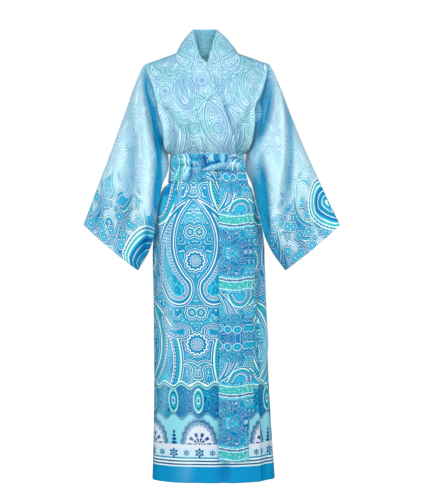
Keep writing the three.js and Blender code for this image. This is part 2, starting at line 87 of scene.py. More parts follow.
# Soft flutes of the skirt: angle round from the centre front, half width, ridge height (a trough is
# negative), and the lengths down where each starts and where it is full
SKIRT_FOLDS = table(
    "angle wide ridge start full",
    (-150, 13, 7, 560, 1416),
    (-118, 12, -7, 640, 1380),
    (-62, 13, 6, 640, 1400),
    (-36, 12, 5, 700, 1400),
    (-14, 12, -6, 620, 1380),
    (12, 14, 5, 760, 1416),
    (66, 9, -5, 560, 1200),
    (108, 13, 6, 700, 1400),
    (140, 14, -7, 620, 1390),
    (172, 13, 8, 560, 1416),
)

# Creases, as seen from the front: each runs from one place to another, right of and above the origin, and has
# a half width and a height (a trough is negative). Face 1 is the front and -1 the back.
BODY_CREASES = table(
    "x0 z0 x1 z1 wide height face",
    (-190, -40, -140, -207, 6, 8, 1),
    (-141, -170, -124, -318, 8, 9, 1),
    (190, -20, 140, -182, 6, 8, 1),
    (141, -140, 122, -318, 8, 10, 1),
    (-204, -40, -153, -215, 8, -9, 1),
    (-155, -190, -138, -318, 8, -9, 1),
    (212, -20, 160, -190, 12, -13, 1),
    (158, -170, 138, -318, 10, -10, 1),
    (-112, -215, -98, -325, 8, -5, 1),
    (-88, -228, -80, -325, 7, 4, 1),
    (-66, -205, -58, -322, 8, -4, 1),
    (-50, -235, -12, -310, 8, 5, 1),
    (-8, -225, -4, -325, 7, -4, 1),
    (22, -255, 44, -322, 9, 5, 1),
    (52, -190, 44, -325, 8, -4, 1),
    (84, -215, 72, -325, 7, 4, 1),
    (108, -225, 94, -322, 8, -5, 1),
    (-160, -150, -70, -262, 10, -4, 1),
    (150, -150, 80, -262, 10, -4, 1),
    (-120, -90, -88, -250, 16, 4, 1),
    (118, -90, 104, -240, 15, 4, 1),
    (-96, -400, -104, -505, 6, -4, 1),
    (-80, -400, -86, -480, 6, 4, 1),
    (-62, -400, -66, -490, 6, -3, 1),
    (-30, -400, -28, -520, 8, 3, 1),
    (4, -404, 8, -560, 7, -3, 1),
    (167, -440, 170, -1010, 9, 10, 1),
    (148, -440, 150, -900, 7, -6, 1),
    (178, -700, 186, -1300, 8, -6, 1),
    (45, -1120, 52, -1350, 20, -9, 1),
    (-60, -900, -70, -1350, 22, 3, 1),
    (-140, -500, -150, -1200, 16, 5, 1),
    (-165, -470, -168, -760, 8, -5, 1),
    (-100, -200, -86, -325, 10, 5, -1),
    (-70, -230, -60, -325, 8, -5, -1),
    (-38, -190, -30, -325, 10, 5, -1),
    (-6, -235, -2, -325, 8, -5, -1),
    (30, -180, 24, -325, 10, 5, -1),
    (64, -225, 54, -325, 8, -5, -1),
    (100, -195, 86, -325, 9, 5, -1),
    (-150, -110, -60, -250, 13, 5, -1),
    (152, -118, 70, -255, 12, 5, -1),
    (-150, -170, -90, -290, 9, -5, -1),
    (150, -175, 96, -290, 9, -5, -1),
    (-86, -402, -94, -520, 8, -4, -1),
    (-48, -402, -52, -500, 7, 4, -1),
    (-12, -402, -12, -560, 9, -4, -1),
    (34, -402, 38, -505, 7, 4, -1),
    (78, -402, 88, -540, 8, -4, -1),
    (-120, -520, -132, -1300, 15, 6, -1),
    (60, -560, 68, -1340, 18, -7, -1),
    (-20, -700, -26, -1340, 16, 6, -1),
)


def read(sheet, column, at):
    # Monotone cubic value of a table's column, by its first column
    keys = next(iter(sheet.values()))
    values = sheet[column]
    step = np.diff(keys)
    slope = np.diff(values) / step
    product = slope[:-1] * slope[1:]
    total = np.where(product > 0, slope[:-1] + slope[1:], 1)
    inner = np.where(product > 0, 2 * product / total, 0)
    tangent = np.concatenate([slope[:1], inner, slope[-1:]])
    at = np.clip(at, keys[0], keys[-1])
    i = np.clip(np.searchsorted(keys, at, side="right") - 1, 0, len(step) - 1)
    t = (at - keys[i]) / step[i]
    h = t * t * (3 - 2 * t)
    bend = step[i] * t * (1 - t) * (tangent[i] * (1 - t) - tangent[i + 1] * t)
    return values[i] * (1 - h) + values[i + 1] * h + bend


def smooth(start, end, x):
    t = np.clip((x - start) / (end - start), 0, 1)
    return t * t * (3 - 2 * t)


def mix(a, b, t):
    return a + (b - a) * t


def signed_power(x, power):
    return np.sign(x) * np.abs(x) ** power


CREASE_BOW = 0.05
CREASE_UNEVEN = 0.3
CREASE_STARTS = (-0.12, 0.4)
CREASE_ENDS = (0.75, 1.15)
CREASE_FACES = (-0.1, 0.4)


def crease_height(creases, x, z, front):
    # Each crease swells from nothing at its ends, and its two sides differ a little in slope
    total = np.zeros(np.shape(x))
    for x0, z0, x1, z1, wide, height, face in zip(*creases.values()):
        length = math.hypot(x1 - x0, z1 - z0)
        along = ((x - x0) * (x1 - x0) + (z - z0) * (z1 - z0)) / length**2
        aside = ((x - x0) * (z1 - z0) - (z - z0) * (x1 - x0)) / length
        bow = aside + CREASE_BOW * length * np.sin(math.pi * np.clip(along, 0, 1))
        away = bow / (wide * (1 + CREASE_UNEVEN * np.tanh(bow / wide)))
        ends = smooth(*CREASE_STARTS, along) * (1 - smooth(*CREASE_ENDS, along))
        total += height * np.exp(-away * away) * ends * smooth(*CREASE_FACES, front * face)
    return total


def body_raw(angle, down):
    turn = np.radians(angle)
    roundness = read(BODY, "round", down)
    sine = signed_power(np.sin(turn), roundness)
    cosine = signed_power(np.cos(turn), roundness)
    half = read(BODY, "half", down)
    ridge = 0
    for at, wide, height, start, full in zip(*SKIRT_FOLDS.values()):
        away = ((angle - at + 180) % 360 - 180) / wide
        ridge = ridge + height * np.exp(-away * away) * smooth(start, full, down)
    grow = 1 + ridge / half
    depth = np.where(cosine > 0, read(BODY, "front", down), read(BODY, "back", down))
    x = read(BODY, "lean", down) + half * sine * grow
    y = -depth * cosine * grow
    z = read(BODY, "height", down) - read(BODY, "drop", down) * np.abs(np.sin(turn))
    return np.stack([x, y, z], axis=-1)


def body_hollow(angle, down):
    # How deep the creases lie at each place of the body, in millimetres (a ridge is negative), for the
    # painted shade and highlight
    point = body_raw(angle, down)
    return -crease_height(BODY_CREASES, point[..., 0], point[..., 2], np.cos(np.radians(angle)))


def unit(vectors):
    return vectors / np.maximum(np.linalg.norm(vectors, axis=-1, keepdims=True), 1e-9)


def body_point(angle, down, outward=0):
    # A place on the body's surface. The angle runs in degrees from the centre front to the wearer's left.
    angle, down = np.broadcast_arrays(np.asarray(angle, float), np.asarray(down, float))
    point = body_raw(angle, down)
    across = body_raw(angle + NORMAL_STEP, down) - body_raw(angle - NORMAL_STEP, down)
    along = body_raw(angle, down + NORMAL_STEP) - body_raw(angle, down - NORMAL_STEP)
    crease = crease_height(BODY_CREASES, point[..., 0], point[..., 2], np.cos(np.radians(angle)))
    return point - unit(np.cross(across, along)) * (outward + crease)[..., None]


def angle_at(aside, down):
    share = np.clip(aside / read(BODY, "half", down), -1, 1)
    return np.degrees(np.arcsin(signed_power(share, 1 / read(BODY, "round", down))))


ROUND_ANGLES = np.arange(-180, 541, 2.0)


def girth_at(angle, down):
    # The length of cloth round the body from the centre front, for rows of angles at one level each
    level = np.asarray(down, float)[:, :1]
    rings = body_raw(ROUND_ANGLES[None, :], level)
    steps = np.linalg.norm(np.diff(rings, axis=1), axis=2)
    lengths = np.concatenate([np.zeros_like(level), np.cumsum(steps, axis=1)], axis=1)
    front = np.searchsorted(ROUND_ANGLES, 0)
    return np.array([np.interp(a, ROUND_ANGLES, row) - row[front] for a, row in zip(angle, lengths)])


ARMHOLE_ROWS = 84
LOWER_ROWS = 190
armhole_levels = ARMHOLE_LENGTH * (1 - np.cos(np.pi * np.arange(ARMHOLE_ROWS + 1) / ARMHOLE_ROWS)) / 2
lower_levels = np.linspace(ARMHOLE_LENGTH, SHOULDER_TO_HEM, LOWER_ROWS + 1)[1:]
levels = np.concatenate([armhole_levels, lower_levels])


def armhole_open(down):
    share = np.clip(down / ARMHOLE_LENGTH, 0, 1)
    return 2 * np.sqrt(share * (1 - share))


def front_side(down):
    return 90 - ARMHOLE_FRONT_ANGLE * armhole_open(down)


def back_side(down):
    return 90 + ARMHOLE_BACK_ANGLE * armhole_open(down)


def cloth(name, points, print_at, bold, painted_shade=None, stands_for=None, turned=True, ring=False,
          thickness=CLOTH_THICKNESS):
    # A sheet of cloth from rows of places. print_at is each place's spot on the flat cloth, in millimetres.
    # bold is above nought where the print is bold, and the shade amount sets the painted shade at each place,
    # as a fold's depth in millimetres; a negative depth gives a painted highlight.
    rows, columns = points.shape[0] - 1, points.shape[1] - 1
    bm = bmesh.new()
    bmesh.ops.create_grid(bm, x_segments=columns, y_segments=rows, size=0.5)
    flat_co = np.array([v.co[:2] for v in bm.verts]) + 0.5
    j = np.rint(flat_co[:, 0] * columns).astype(int)
    i = np.rint(flat_co[:, 1] * rows).astype(int)
    on_flat = bm.loops.layers.uv.new("cut")
    boldness = bm.verts.layers.float.new("bold")
    depth = bm.verts.layers.float.new("painted_shade")
    painted_shade = 0 * bold if painted_shade is None else painted_shade
    spots = (print_at[i, j] * MM).tolist()
    places = (points[i, j] * MM).tolist()
    bold_here = bold[i, j].tolist()
    shade_here = painted_shade[i, j].tolist()
    for vertex in bm.verts:
        vertex.co = places[vertex.index]
        vertex[boldness] = bold_here[vertex.index]
        vertex[depth] = shade_here[vertex.index]
        for loop in vertex.link_loops:
            loop[on_flat].uv = spots[vertex.index]
    if turned:
        bmesh.ops.reverse_faces(bm, faces=bm.faces)
    if ring:
        bmesh.ops.remove_doubles(bm, verts=bm.verts, dist=0.01 * MM)
    for face in bm.faces:
        face.smooth = True
    mesh = bpy.data.meshes.new(name + "_cloth")
    bm.to_mesh(mesh)
    bm.free()
    piece = bpy.data.objects.new(name + "_cloth", mesh)
    bpy.context.collection.objects.link(piece)
    wall = piece.modifiers.new("cloth thickness", "SOLIDIFY")
    wall.thickness = thickness * MM
    wall.offset = 0
    wall.material_offset = 1
    piece.modifiers.new("flat up to the edges", "WEIGHTED_NORMAL").weight = 100
    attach(piece, "root")
    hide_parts(*(stands_for or (name,)))
    return piece


def linear(hex_colour):
    channels = [int(hex_colour[k : k + 2], 16) / 255 for k in (1, 3, 5)]
    return [c / 12.92 if c <= 0.04045 else ((c + 0.055) / 1.055) ** 2.4 for c in channels] + [1]


def add(tree, kind, *values, out=0, **settings):
    # Adds a node with its settings. Its inputs follow in order: a socket is linked, a value is set and None
    # leaves an input as it is.
    made = tree.nodes.new("ShaderNode" + kind)
    for key, value in settings.items():
        setattr(made, key, value)
    for socket, value in zip([s for s in made.inputs if s.enabled], values):
        if isinstance(value, bpy.types.NodeSocket):
            tree.links.new(value, socket)
        elif value is not None:
            socket.default_value = value
    outputs = [s for s in made.outputs if s.enabled]
    return outputs if out is None else outputs[out]


def group(name, takes, gives):
    tree = bpy.data.node_groups.new(name, "ShaderNodeTree")
    for label, kind in takes.items():
        tree.interface.new_socket(label, in_out="INPUT", socket_type="NodeSocket" + kind)
    for label, kind in gives.items():
        tree.interface.new_socket(label, in_out="OUTPUT", socket_type="NodeSocket" + kind)
    given = list(tree.nodes.new("NodeGroupInput").outputs)[: len(takes)]
    wanted = list(tree.nodes.new("NodeGroupOutput").inputs)[: len(gives)]
    return tree, given, wanted


def ink_steps(tree, at, stops):
    # Flat bands of ink. Each stop says where its colour starts, in millimetres.
    reach = stops[-1][0] + 1
    made = add(tree, "ValToRGB", add(tree, "Math", at, reach, operation="DIVIDE")).node
    made.color_ramp.interpolation = "CONSTANT"
    elements = made.color_ramp.elements
    while len(elements) < len(stops):
        elements.new(1)
    for element, (start, colour) in zip(elements, stops):
        element.position = start / reach
        element.color = linear(colour)
    return made.outputs[0]


def over(tree, mask, below, above):
    return add(tree, "Mix", mask, below, above, data_type="RGBA", out=0)


# Printing inks
WHITE = "#DDF0EC"
BLUSH = "#D9DEE6"
MIST = "#C4DFEA"
PALE_CYAN = "#8CD2DE"
CYAN = "#40BED6"
AQUA = "#22AFD0"
TURQUOISE = "#0592B8"
SEA_GREEN = "#2FB9B0"
BLUE = "#067AB2"
NAVY = "#144E86"
HEM_BLUE = "#008EC2"

# The print repeats every 56 cm in height and is mirrored every 18 cm in width. Each paisley is a horn bent on
# a circle: the circle's centre, the angle of its round head, the way it turns, the circle's radius, the
# head's radius, the angle that it sweeps, and its set of inks.
REPEAT_HIGH = 560
REPEAT_HALF = 180
PAISLEYS = table(
    "x y start turn bend head sweep tone",
    (-95, 150, -38, 1, 190, 46, 95, 0),
    (275, 400, 218, -1, 190, 52, 100, 1),
    (168, 62, 150, 1, 46, 20, 120, 0),
    (30, 340, 200, -1, 26, 15, 150, 1),
    (60, 505, 250, 1, 44, 22, 150, 0),
)
ROSETTES = table(
    "x y radius petals tone",
    (0, 120, 30, 12, 0),
    (180, 122, 34, 14, 1),
    (0, 425, 33, 14, 0),
    (180, 400, 27, 12, 0),
    (14, 208, 15, 8, 1),
    (126, 182, 14, 8, 0),
    (14, 522, 17, 10, 1),
    (158, 218, 13, 8, 1),
)
PAISLEY_TAPER = 0.8
LARGE_HEAD = 50
LARGE_ROSETTE = 30
SMALLEST_SCALE = 0.45
PETAL_DEPTH = 0.07
DOT_SPACING = 10
FAR_OFF = 999.0

# Rows of dots inside each motif: spacing, depth inside the outline, radius and ink
DOT_ROWS = (
    (8, 9.8, 2.6, BLUE),
    (DOT_SPACING, 20.5, 3.2, WHITE),
    (DOT_SPACING, 20.5, 1.7, NAVY),
)
FILLED_DEPTH = 29.0


def wrapped_place(tree, place, centre):
    # The offset from a motif's centre to the nearest of its repeats, as across, up and the vector's length
    offset = add(tree, "VectorMath", place, centre, operation="SUBTRACT")
    across, up, _ = add(tree, "SeparateXYZ", offset, out=None)
    up = add(tree, "Math", up, REPEAT_HIGH / 2, -REPEAT_HIGH / 2, operation="WRAP")
    length = add(tree, "VectorMath", add(tree, "CombineXYZ", across, up), operation="LENGTH")
    return length, add(tree, "Math", up, across, operation="ARCTAN2")


paisley, given, wanted = group(
    "paisley",
    {"Place": "Vector", "Centre": "Vector", "Start": "Float", "Turn": "Float", "Bend": "Float",
     "Head": "Float", "Sweep": "Float"},
    {"Distance": "Float", "Along": "Float"},
)
place, centre, start, turn, bend, head, sweep = given
from_centre, angle = wrapped_place(paisley, place, centre)
swung = add(paisley, "Math", angle, start, operation="SUBTRACT")
swung = add(paisley, "Math", swung, turn, operation="MULTIPLY")
highest = add(paisley, "Math", sweep, 0.5, math.pi, operation="MULTIPLY_ADD")
lowest = add(paisley, "Math", highest, 2 * math.pi, operation="SUBTRACT")
swung = add(paisley, "Math", swung, highest, lowest, operation="WRAP")
share = add(paisley, "Math", swung, sweep, operation="DIVIDE", use_clamp=True)
on_horn = add(paisley, "Math", share, sweep, operation="MULTIPLY")
past = add(paisley, "Math", swung, on_horn, operation="SUBTRACT")
past = add(paisley, "Math", past, bend, operation="MULTIPLY")
aside = add(paisley, "Math", from_centre, bend, operation="SUBTRACT")
narrowing = add(paisley, "Math", 1.0, share, operation="SUBTRACT")
narrowing = add(paisley, "Math", narrowing, PAISLEY_TAPER, operation="POWER")
off = add(paisley, "VectorMath", add(paisley, "CombineXYZ", aside, past), operation="LENGTH")
half_width = add(paisley, "Math", head, narrowing, operation="MULTIPLY")
distance = add(paisley, "Math", off, half_width, operation="SUBTRACT")
behind = add(paisley, "Math", past, -1.0, operation="MULTIPLY")
behind = add(paisley, "Math", behind, 0.0, operation="MAXIMUM")
beside = add(paisley, "Math", aside, operation="ABSOLUTE")
round_head = add(paisley, "Math", behind, beside, operation="ARCTAN2")
round_head = add(paisley, "Math", round_head, head, operation="MULTIPLY")
arc = add(paisley, "Math", on_horn, bend, operation="MULTIPLY")
along = add(paisley, "Math", arc, round_head, operation="SUBTRACT")
paisley.links.new(distance, wanted[0])
paisley.links.new(along, wanted[1])

rosette, given, wanted = group(
    "rosette",
    {"Place": "Vector", "Centre": "Vector", "Radius": "Float", "Petals": "Float"},
    {"Distance": "Float", "Along": "Float"},
)
place, centre, radius, petals = given
from_centre, angle = wrapped_place(rosette, place, centre)
petal_turn = add(rosette, "Math", angle, petals, operation="MULTIPLY")
scallop = add(rosette, "Math", petal_turn, operation="COSINE")
scallop = add(rosette, "Math", scallop, PETAL_DEPTH, 1.0, operation="MULTIPLY_ADD")
edge = add(rosette, "Math", scallop, radius, operation="MULTIPLY")
distance = add(rosette, "Math", from_centre, edge, operation="SUBTRACT")
along = add(rosette, "Math", petal_turn, DOT_SPACING / (2 * math.pi), operation="MULTIPLY")
rosette.links.new(distance, wanted[0])
rosette.links.new(along, wanted[1])


def dots(tree, ink, along, depth, spacing, at, radius, colour):
    # A row of round dots that follows a motif's outline, a depth inside it
    share = add(tree, "Math", along, spacing, operation="DIVIDE")
    share = add(tree, "Math", share, operation="FRACT")
    from_middle = add(tree, "Math", share, 0.5, operation="SUBTRACT")
    across = add(tree, "Math", from_middle, spacing, operation="MULTIPLY")
    inward = add(tree, "Math", depth, at, operation="SUBTRACT")
    off = add(tree, "VectorMath", add(tree, "CombineXYZ", across, inward), operation="LENGTH")
    on_dot = add(tree, "Math", off, radius, operation="LESS_THAN")
    return over(tree, on_dot, ink, linear(colour))


paisley_print, (place,), wanted = group(
    "paisley print", {"Place": "Vector"}, {"Ink": "Color", "Distance": "Float"}
)
across, up, _ = add(paisley_print, "SeparateXYZ", place, out=None)
mirrored = add(paisley_print, "Math", across, REPEAT_HALF, operation="PINGPONG")
spot = add(paisley_print, "CombineXYZ", mirrored, up)
near = FAR_OFF
found = (0, 0, 0)
motifs = [
    (paisley, ((x, y, 0), math.radians(start), turn, bend, head, math.radians(sweep)), head / LARGE_HEAD,
     tone)
    for x, y, start, turn, bend, head, sweep, tone in zip(*PAISLEYS.values())
] + [
    (rosette, ((x, y, 0), radius, petals), radius / LARGE_ROSETTE, tone)
    for x, y, radius, petals, tone in zip(*ROSETTES.values())
]
for motif, sizes, scale, tone in motifs:
    distance, along = add(paisley_print, "Group", spot, *sizes, node_tree=motif, out=None)
    depth = add(paisley_print, "Math", distance, -1 / max(SMALLEST_SCALE, scale), operation="MULTIPLY")
    here = add(paisley_print, "CombineXYZ", depth, along, tone)
    inside_it = add(paisley_print, "Math", distance, 0.0, operation="LESS_THAN")
    found = add(paisley_print, "Mix", inside_it, found, here, data_type="VECTOR")
    near = add(paisley_print, "Math", near, distance, operation="MINIMUM")
depth, along, tone = add(paisley_print, "SeparateXYZ", found, out=None)
turquoise_set = ink_steps(paisley_print, depth, (
    (0, WHITE), (4, NAVY), (5.2, TURQUOISE), (13.5, WHITE), (15.5, BLUE), (25.5, WHITE), (27, AQUA),
))
green_set = ink_steps(paisley_print, depth, (
    (0, WHITE), (4.2, SEA_GREEN), (12, CYAN), (13.5, BLUE), (24, WHITE), (26, NAVY), (27.5, TURQUOISE),
))
ink = over(paisley_print, tone, turquoise_set, green_set)
for spacing, at, radius, dot_ink in DOT_ROWS:
    ink = dots(paisley_print, ink, along, depth, spacing, at, radius, dot_ink)

# The ground between the motifs: echo lines round them, then lace of fine marks and scrolling lines on patches
# of light and dark
PATCH_SIZE = 95
SCROLL_SIZE = 46
SCROLL_LINES = 9.0
SCROLL_INKS = ((BLUE, 0.24), (WHITE, 0.12))
LACE_SIZE = 9.0
DARK_PATCH = 0.53
ECHOES_END = 14.0
echoes = ink_steps(paisley_print, near, (
    (0, NAVY), (1.6, TURQUOISE), (5, WHITE), (6.6, BLUE), (10.5, CYAN), (12, TURQUOISE),
))


def mottled(tree, spot, size, detail):
    # Soft patches of a size in millimetres, as a value from 0 to 1
    scaled = add(tree, "VectorMath", spot, (1 / size,) * 3, operation="MULTIPLY")
    return add(tree, "TexNoise", scaled, 1.0, detail)


def scrolled(tree, ink, spot, size, lines, line_inks):
    # Scrolling lines over a ground. Each ink takes its share of every line.
    wound = add(tree, "Math", mottled(tree, spot, size, 1.0), lines, operation="MULTIPLY")
    at = add(tree, "Math", wound, operation="FRACT")
    for line_ink, share in line_inks:
        on_line = add(tree, "Math", at, share, operation="LESS_THAN")
        ink = over(tree, on_line, ink, linear(line_ink))
    return ink


def filigree(tree, spot, size, lines, line_inks, grounds):
    # Fine scrolling lines on patches of ground colour
    patch = add(tree, "Math", mottled(tree, spot, PATCH_SIZE, 2.0), 100.0, operation="MULTIPLY")
    return scrolled(tree, ink_steps(tree, patch, grounds), spot, size, lines, line_inks)


def lace(tree, spot, size, stops):
    # Fine marks, one to a cell, like the dots and small leaves that fill such prints
    cells = add(tree, "VectorMath", spot, (1 / size,) * 3, operation="MULTIPLY")
    away = add(tree, "TexVoronoi", cells, 1.0, 0.0, 0.5, 2.0, 1.0, voronoi_dimensions="2D")
    return ink_steps(tree, add(tree, "Math", away, size, operation="MULTIPLY"), stops)


light_lace = lace(paisley_print, spot, LACE_SIZE, (
    (0, NAVY), (1.2, WHITE), (1.9, AQUA), (3.2, TURQUOISE), (4.6, SEA_GREEN), (5.6, CYAN)))
dark_lace = lace(paisley_print, spot, LACE_SIZE, (
    (0, CYAN), (1.1, NAVY), (2.1, TURQUOISE), (3.8, BLUE), (4.6, NAVY), (5.2, AQUA)))
patch = mottled(paisley_print, spot, PATCH_SIZE, 2.0)
dark_patch = add(paisley_print, "Math", patch, DARK_PATCH, operation="GREATER_THAN")
ground = over(paisley_print, dark_patch, light_lace, dark_lace)
ground = scrolled(paisley_print, ground, spot, SCROLL_SIZE, SCROLL_LINES, SCROLL_INKS)
past_echoes = add(paisley_print, "Math", near, ECHOES_END, operation="GREATER_THAN")
ground = over(paisley_print, past_echoes, echoes, ground)
deep = add(paisley_print, "Math", depth, FILLED_DEPTH, operation="GREATER_THAN")
filled = filigree(
    paisley_print, spot, SCROLL_SIZE, SCROLL_LINES, ((CYAN, 0.42), (BLUE, 0.15)),
    ((0, BLUE), (45, TURQUOISE), (52, AQUA)),
)
ink = over(paisley_print, deep, ink, filled)
in_motif = add(paisley_print, "Math", near, 0.0, operation="LESS_THAN")
ink = over(paisley_print, in_motif, ground, ink)
paisley_print.links.new(ink, wanted[0])
paisley_print.links.new(near, wanted[1])

# The hem's border, by height above the hem: a plain band, stripes, a pale strip of small flowers, arches with
# a lotus in each and a sprig between, and a dark scalloped band
ARCH_HALF_SPACING = 78
ARCH_HALF = 54
ARCH_RISE = 76
ARCH_FOOT = 118
ARCH_EDGE = 60.0
ARCH_SCALLOPS = 22.0
ARCH_SCALLOP_DEPTH = 1.8
LOTUS_PETALS = 10.0
LOTUS_RINGS = table(
    "inner outer least",
    (7, 20, -0.3),
    (23, 36, 0.05),
    (0, 4.5, -2.0),
)
LEAF_LENGTH = 11.0
LEAF_WIDE = 11.0
LEAF_NARROWING = -0.17
SPRIG_HIGH = 46.0
BORDER_TOP = 306
STRIP_MIDDLE = 92
STRIP_SPACING = 40
STRIPES = (
    (0, HEM_BLUE), (50, WHITE), (54.5, NAVY), (59, WHITE), (64.5, NAVY), (69, WHITE), (74.5, TURQUOISE),
    (79, MIST), (105, BLUSH),
)
hem_print, (place,), wanted = group("hem border print", {"Place": "Vector"}, {"Ink": "Color"})
across, up, _ = add(hem_print, "SeparateXYZ", place, out=None)
mirrored = add(hem_print, "Math", across, ARCH_HALF_SPACING, operation="PINGPONG")
above_foot = add(hem_print, "Math", up, ARCH_FOOT, operation="SUBTRACT")
arch_x = add(hem_print, "Math", mirrored, ARCH_HALF, operation="DIVIDE")
arch_y = add(hem_print, "Math", above_foot, ARCH_RISE, operation="DIVIDE")
arch_reach = add(hem_print, "VectorMath", add(hem_print, "CombineXYZ", arch_x, arch_y), operation="LENGTH")
arch_turn = add(hem_print, "Math", arch_y, arch_x, operation="ARCTAN2")
scallops = add(hem_print, "Math", arch_turn, ARCH_SCALLOPS, operation="MULTIPLY")
scallops = add(hem_print, "Math", scallops, operation="COSINE")
scallops = add(hem_print, "Math", scallops, ARCH_SCALLOP_DEPTH, operation="MULTIPLY")
arch_at = add(hem_print, "Math", arch_reach, ARCH_EDGE, scallops, operation="MULTIPLY_ADD")
ink = ink_steps(hem_print, arch_at, (
    (0, BLUSH), (45, NAVY), (46.5, MIST), (48.5, NAVY), (51.5, MIST), (53, NAVY), (56, AQUA), (57.5, NAVY),
    (61, MIST), (62.5, NAVY), (64, PALE_CYAN),
))
in_lotus = add(hem_print, "CombineXYZ", mirrored, above_foot)
lotus_reach = add(hem_print, "VectorMath", in_lotus, operation="LENGTH")
lotus_turn = add(hem_print, "Math", above_foot, mirrored, operation="ARCTAN2")
lotus_turn = add(hem_print, "Math", lotus_turn, LOTUS_PETALS, operation="MULTIPLY")
petals = add(hem_print, "Math", lotus_turn, operation="COSINE")
for inner, outer, least in zip(*LOTUS_RINGS.values()):
    on_petal = add(hem_print, "Math", petals, least, operation="GREATER_THAN")
    past_inner = add(hem_print, "Math", lotus_reach, inner, operation="GREATER_THAN")
    on_petal = add(hem_print, "Math", on_petal, past_inner, operation="MULTIPLY")
    before_outer = add(hem_print, "Math", lotus_reach, outer, operation="LESS_THAN")
    on_petal = add(hem_print, "Math", on_petal, before_outer, operation="MULTIPLY")
    ink = over(hem_print, on_petal, ink, linear(NAVY))
sprig_x = add(hem_print, "Math", ARCH_HALF_SPACING, mirrored, operation="SUBTRACT")
leaf_share = add(hem_print, "Math", above_foot, LEAF_LENGTH, operation="DIVIDE")
leaf_share = add(hem_print, "Math", leaf_share, operation="FRACT")
leaf = add(hem_print, "Math", leaf_share, math.pi, operation="MULTIPLY")
leaf = add(hem_print, "Math", leaf, operation="SINE")
leaf_wide = add(hem_print, "Math", above_foot, LEAF_NARROWING, LEAF_WIDE, operation="MULTIPLY_ADD")
leaf_edge = add(hem_print, "Math", leaf, leaf_wide, operation="MULTIPLY")
on_sprig = add(hem_print, "Math", sprig_x, leaf_edge, operation="LESS_THAN")
low = add(hem_print, "Math", above_foot, SPRIG_HIGH, operation="LESS_THAN")
on_sprig = add(hem_print, "Math", on_sprig, low, operation="MULTIPLY")
ink = over(hem_print, on_sprig, ink, linear(NAVY))

# The dark band's scalloped foot, its filling of scrolls and its row of teardrops
SCALLOP_TURN = 2 * math.pi / 52
SCALLOP_HIGH = 9.0
DARK_FOOT = 200.0
DARK_EDGE = 9.0
DARK_SCROLL_SIZE = 26
TEAR_SPACING = 39.0
TEAR_MIDDLE = 252.0
TEAR_LENGTHENED = 2.4
TEAR_SIZE = 15.6
scallop = add(hem_print, "Math", across, SCALLOP_TURN, operation="MULTIPLY")
scallop = add(hem_print, "Math", scallop, operation="COSINE")
scallop = add(hem_print, "Math", scallop, SCALLOP_HIGH, up, operation="MULTIPLY_ADD")
above_scallop = add(hem_print, "Math", scallop, DARK_FOOT, operation="SUBTRACT")
dark = filigree(hem_print, place, DARK_SCROLL_SIZE, SCROLL_LINES, ((NAVY, 0.5), (CYAN, 0.12)),
                ((0, BLUE), (52, TURQUOISE)))
tear_x = add(hem_print, "Math", across, TEAR_SPACING, operation="PINGPONG")
tear_y = add(hem_print, "Math", up, TEAR_MIDDLE, operation="SUBTRACT")
tear_y = add(hem_print, "Math", tear_y, TEAR_LENGTHENED, operation="DIVIDE")
tear_at = add(hem_print, "VectorMath", add(hem_print, "CombineXYZ", tear_x, tear_y), operation="LENGTH")
tears = ink_steps(hem_print, tear_at, (
    (0, NAVY), (3, WHITE), (4.6, AQUA), (9, NAVY), (11, SEA_GREEN), (14, WHITE),
))
on_tear = add(hem_print, "Math", tear_at, TEAR_SIZE, operation="LESS_THAN")
dark = over(hem_print, on_tear, dark, tears)
edge_ink = ink_steps(hem_print, above_scallop, ((0, PALE_CYAN), (1, NAVY), (4, PALE_CYAN), (6.5, NAVY)))
past_edge = add(hem_print, "Math", above_scallop, DARK_EDGE, operation="GREATER_THAN")
dark = over(hem_print, past_edge, edge_ink, dark)
in_dark = add(hem_print, "Math", above_scallop, 0.0, operation="GREATER_THAN")
ink = over(hem_print, in_dark, ink, dark)
past_foot = add(hem_print, "Math", up, ARCH_FOOT, operation="GREATER_THAN")
ink = over(hem_print, past_foot, ink_steps(hem_print, up, STRIPES), ink)

# The pale strip's flowers, large and small by turns
FLOWER_PETALS = 6.0
FLOWER_SWELL = 0.25
LARGE_FLOWER = 11.5
SMALL_FLOWER = 7.5
flower_y = add(hem_print, "Math", up, STRIP_MIDDLE, operation="SUBTRACT")
near_flower = add(hem_print, "Math", across, STRIP_SPACING, operation="PINGPONG")
between_flowers = add(hem_print, "Math", STRIP_SPACING, near_flower, operation="SUBTRACT")
for flower_x, size in ((near_flower, LARGE_FLOWER), (between_flowers, SMALL_FLOWER)):
    flower_turn = add(hem_print, "Math", flower_y, flower_x, operation="ARCTAN2")
    flower_turn = add(hem_print, "Math", flower_turn, FLOWER_PETALS, operation="MULTIPLY")
    waves = add(hem_print, "Math", flower_turn, operation="COSINE")
    swell = add(hem_print, "Math", waves, FLOWER_SWELL, 1.0, operation="MULTIPLY_ADD")
    flower_reach = add(hem_print, "CombineXYZ", flower_x, flower_y)
    flower_reach = add(hem_print, "VectorMath", flower_reach, operation="LENGTH")
    flower_at = add(hem_print, "Math", flower_reach, swell, operation="MULTIPLY")
    flower = ink_steps(hem_print, flower_at, (
        (0, NAVY), (size * 0.25, CYAN), (size * 0.4, MIST), (size * 0.5, NAVY),
    ))
    on_flower = add(hem_print, "Math", flower_at, size, operation="LESS_THAN")
    ink = over(hem_print, on_flower, ink, flower)
hem_print.links.new(ink, wanted[0])

# The pale print's inks, by how light the bold print's ink is in hundredths
PALE_INKS = ((0, "#5F9ABC"), (9, "#A4CDDB"), (22, "#B8DAE3"), (34, "#CAE3E9"), (50, "#D6E9ED"),
             (70, "#7FB4C8"))
PALE_SCALE = 0.52
PALE_LINE = 14
PALE_LINE_SHARE = 0.22
PALE_LINE_INK = "#5690AE"
TINT_SIZE = 70
TINTS = ((0, "#F0F1FB"), (41, "#FFFFFF"), (54, "#E6F8F5"))
THREAD = 1.4
WEAVE_STRENGTH = 0.12
WEAVE_DEPTH = 0.2 * MM
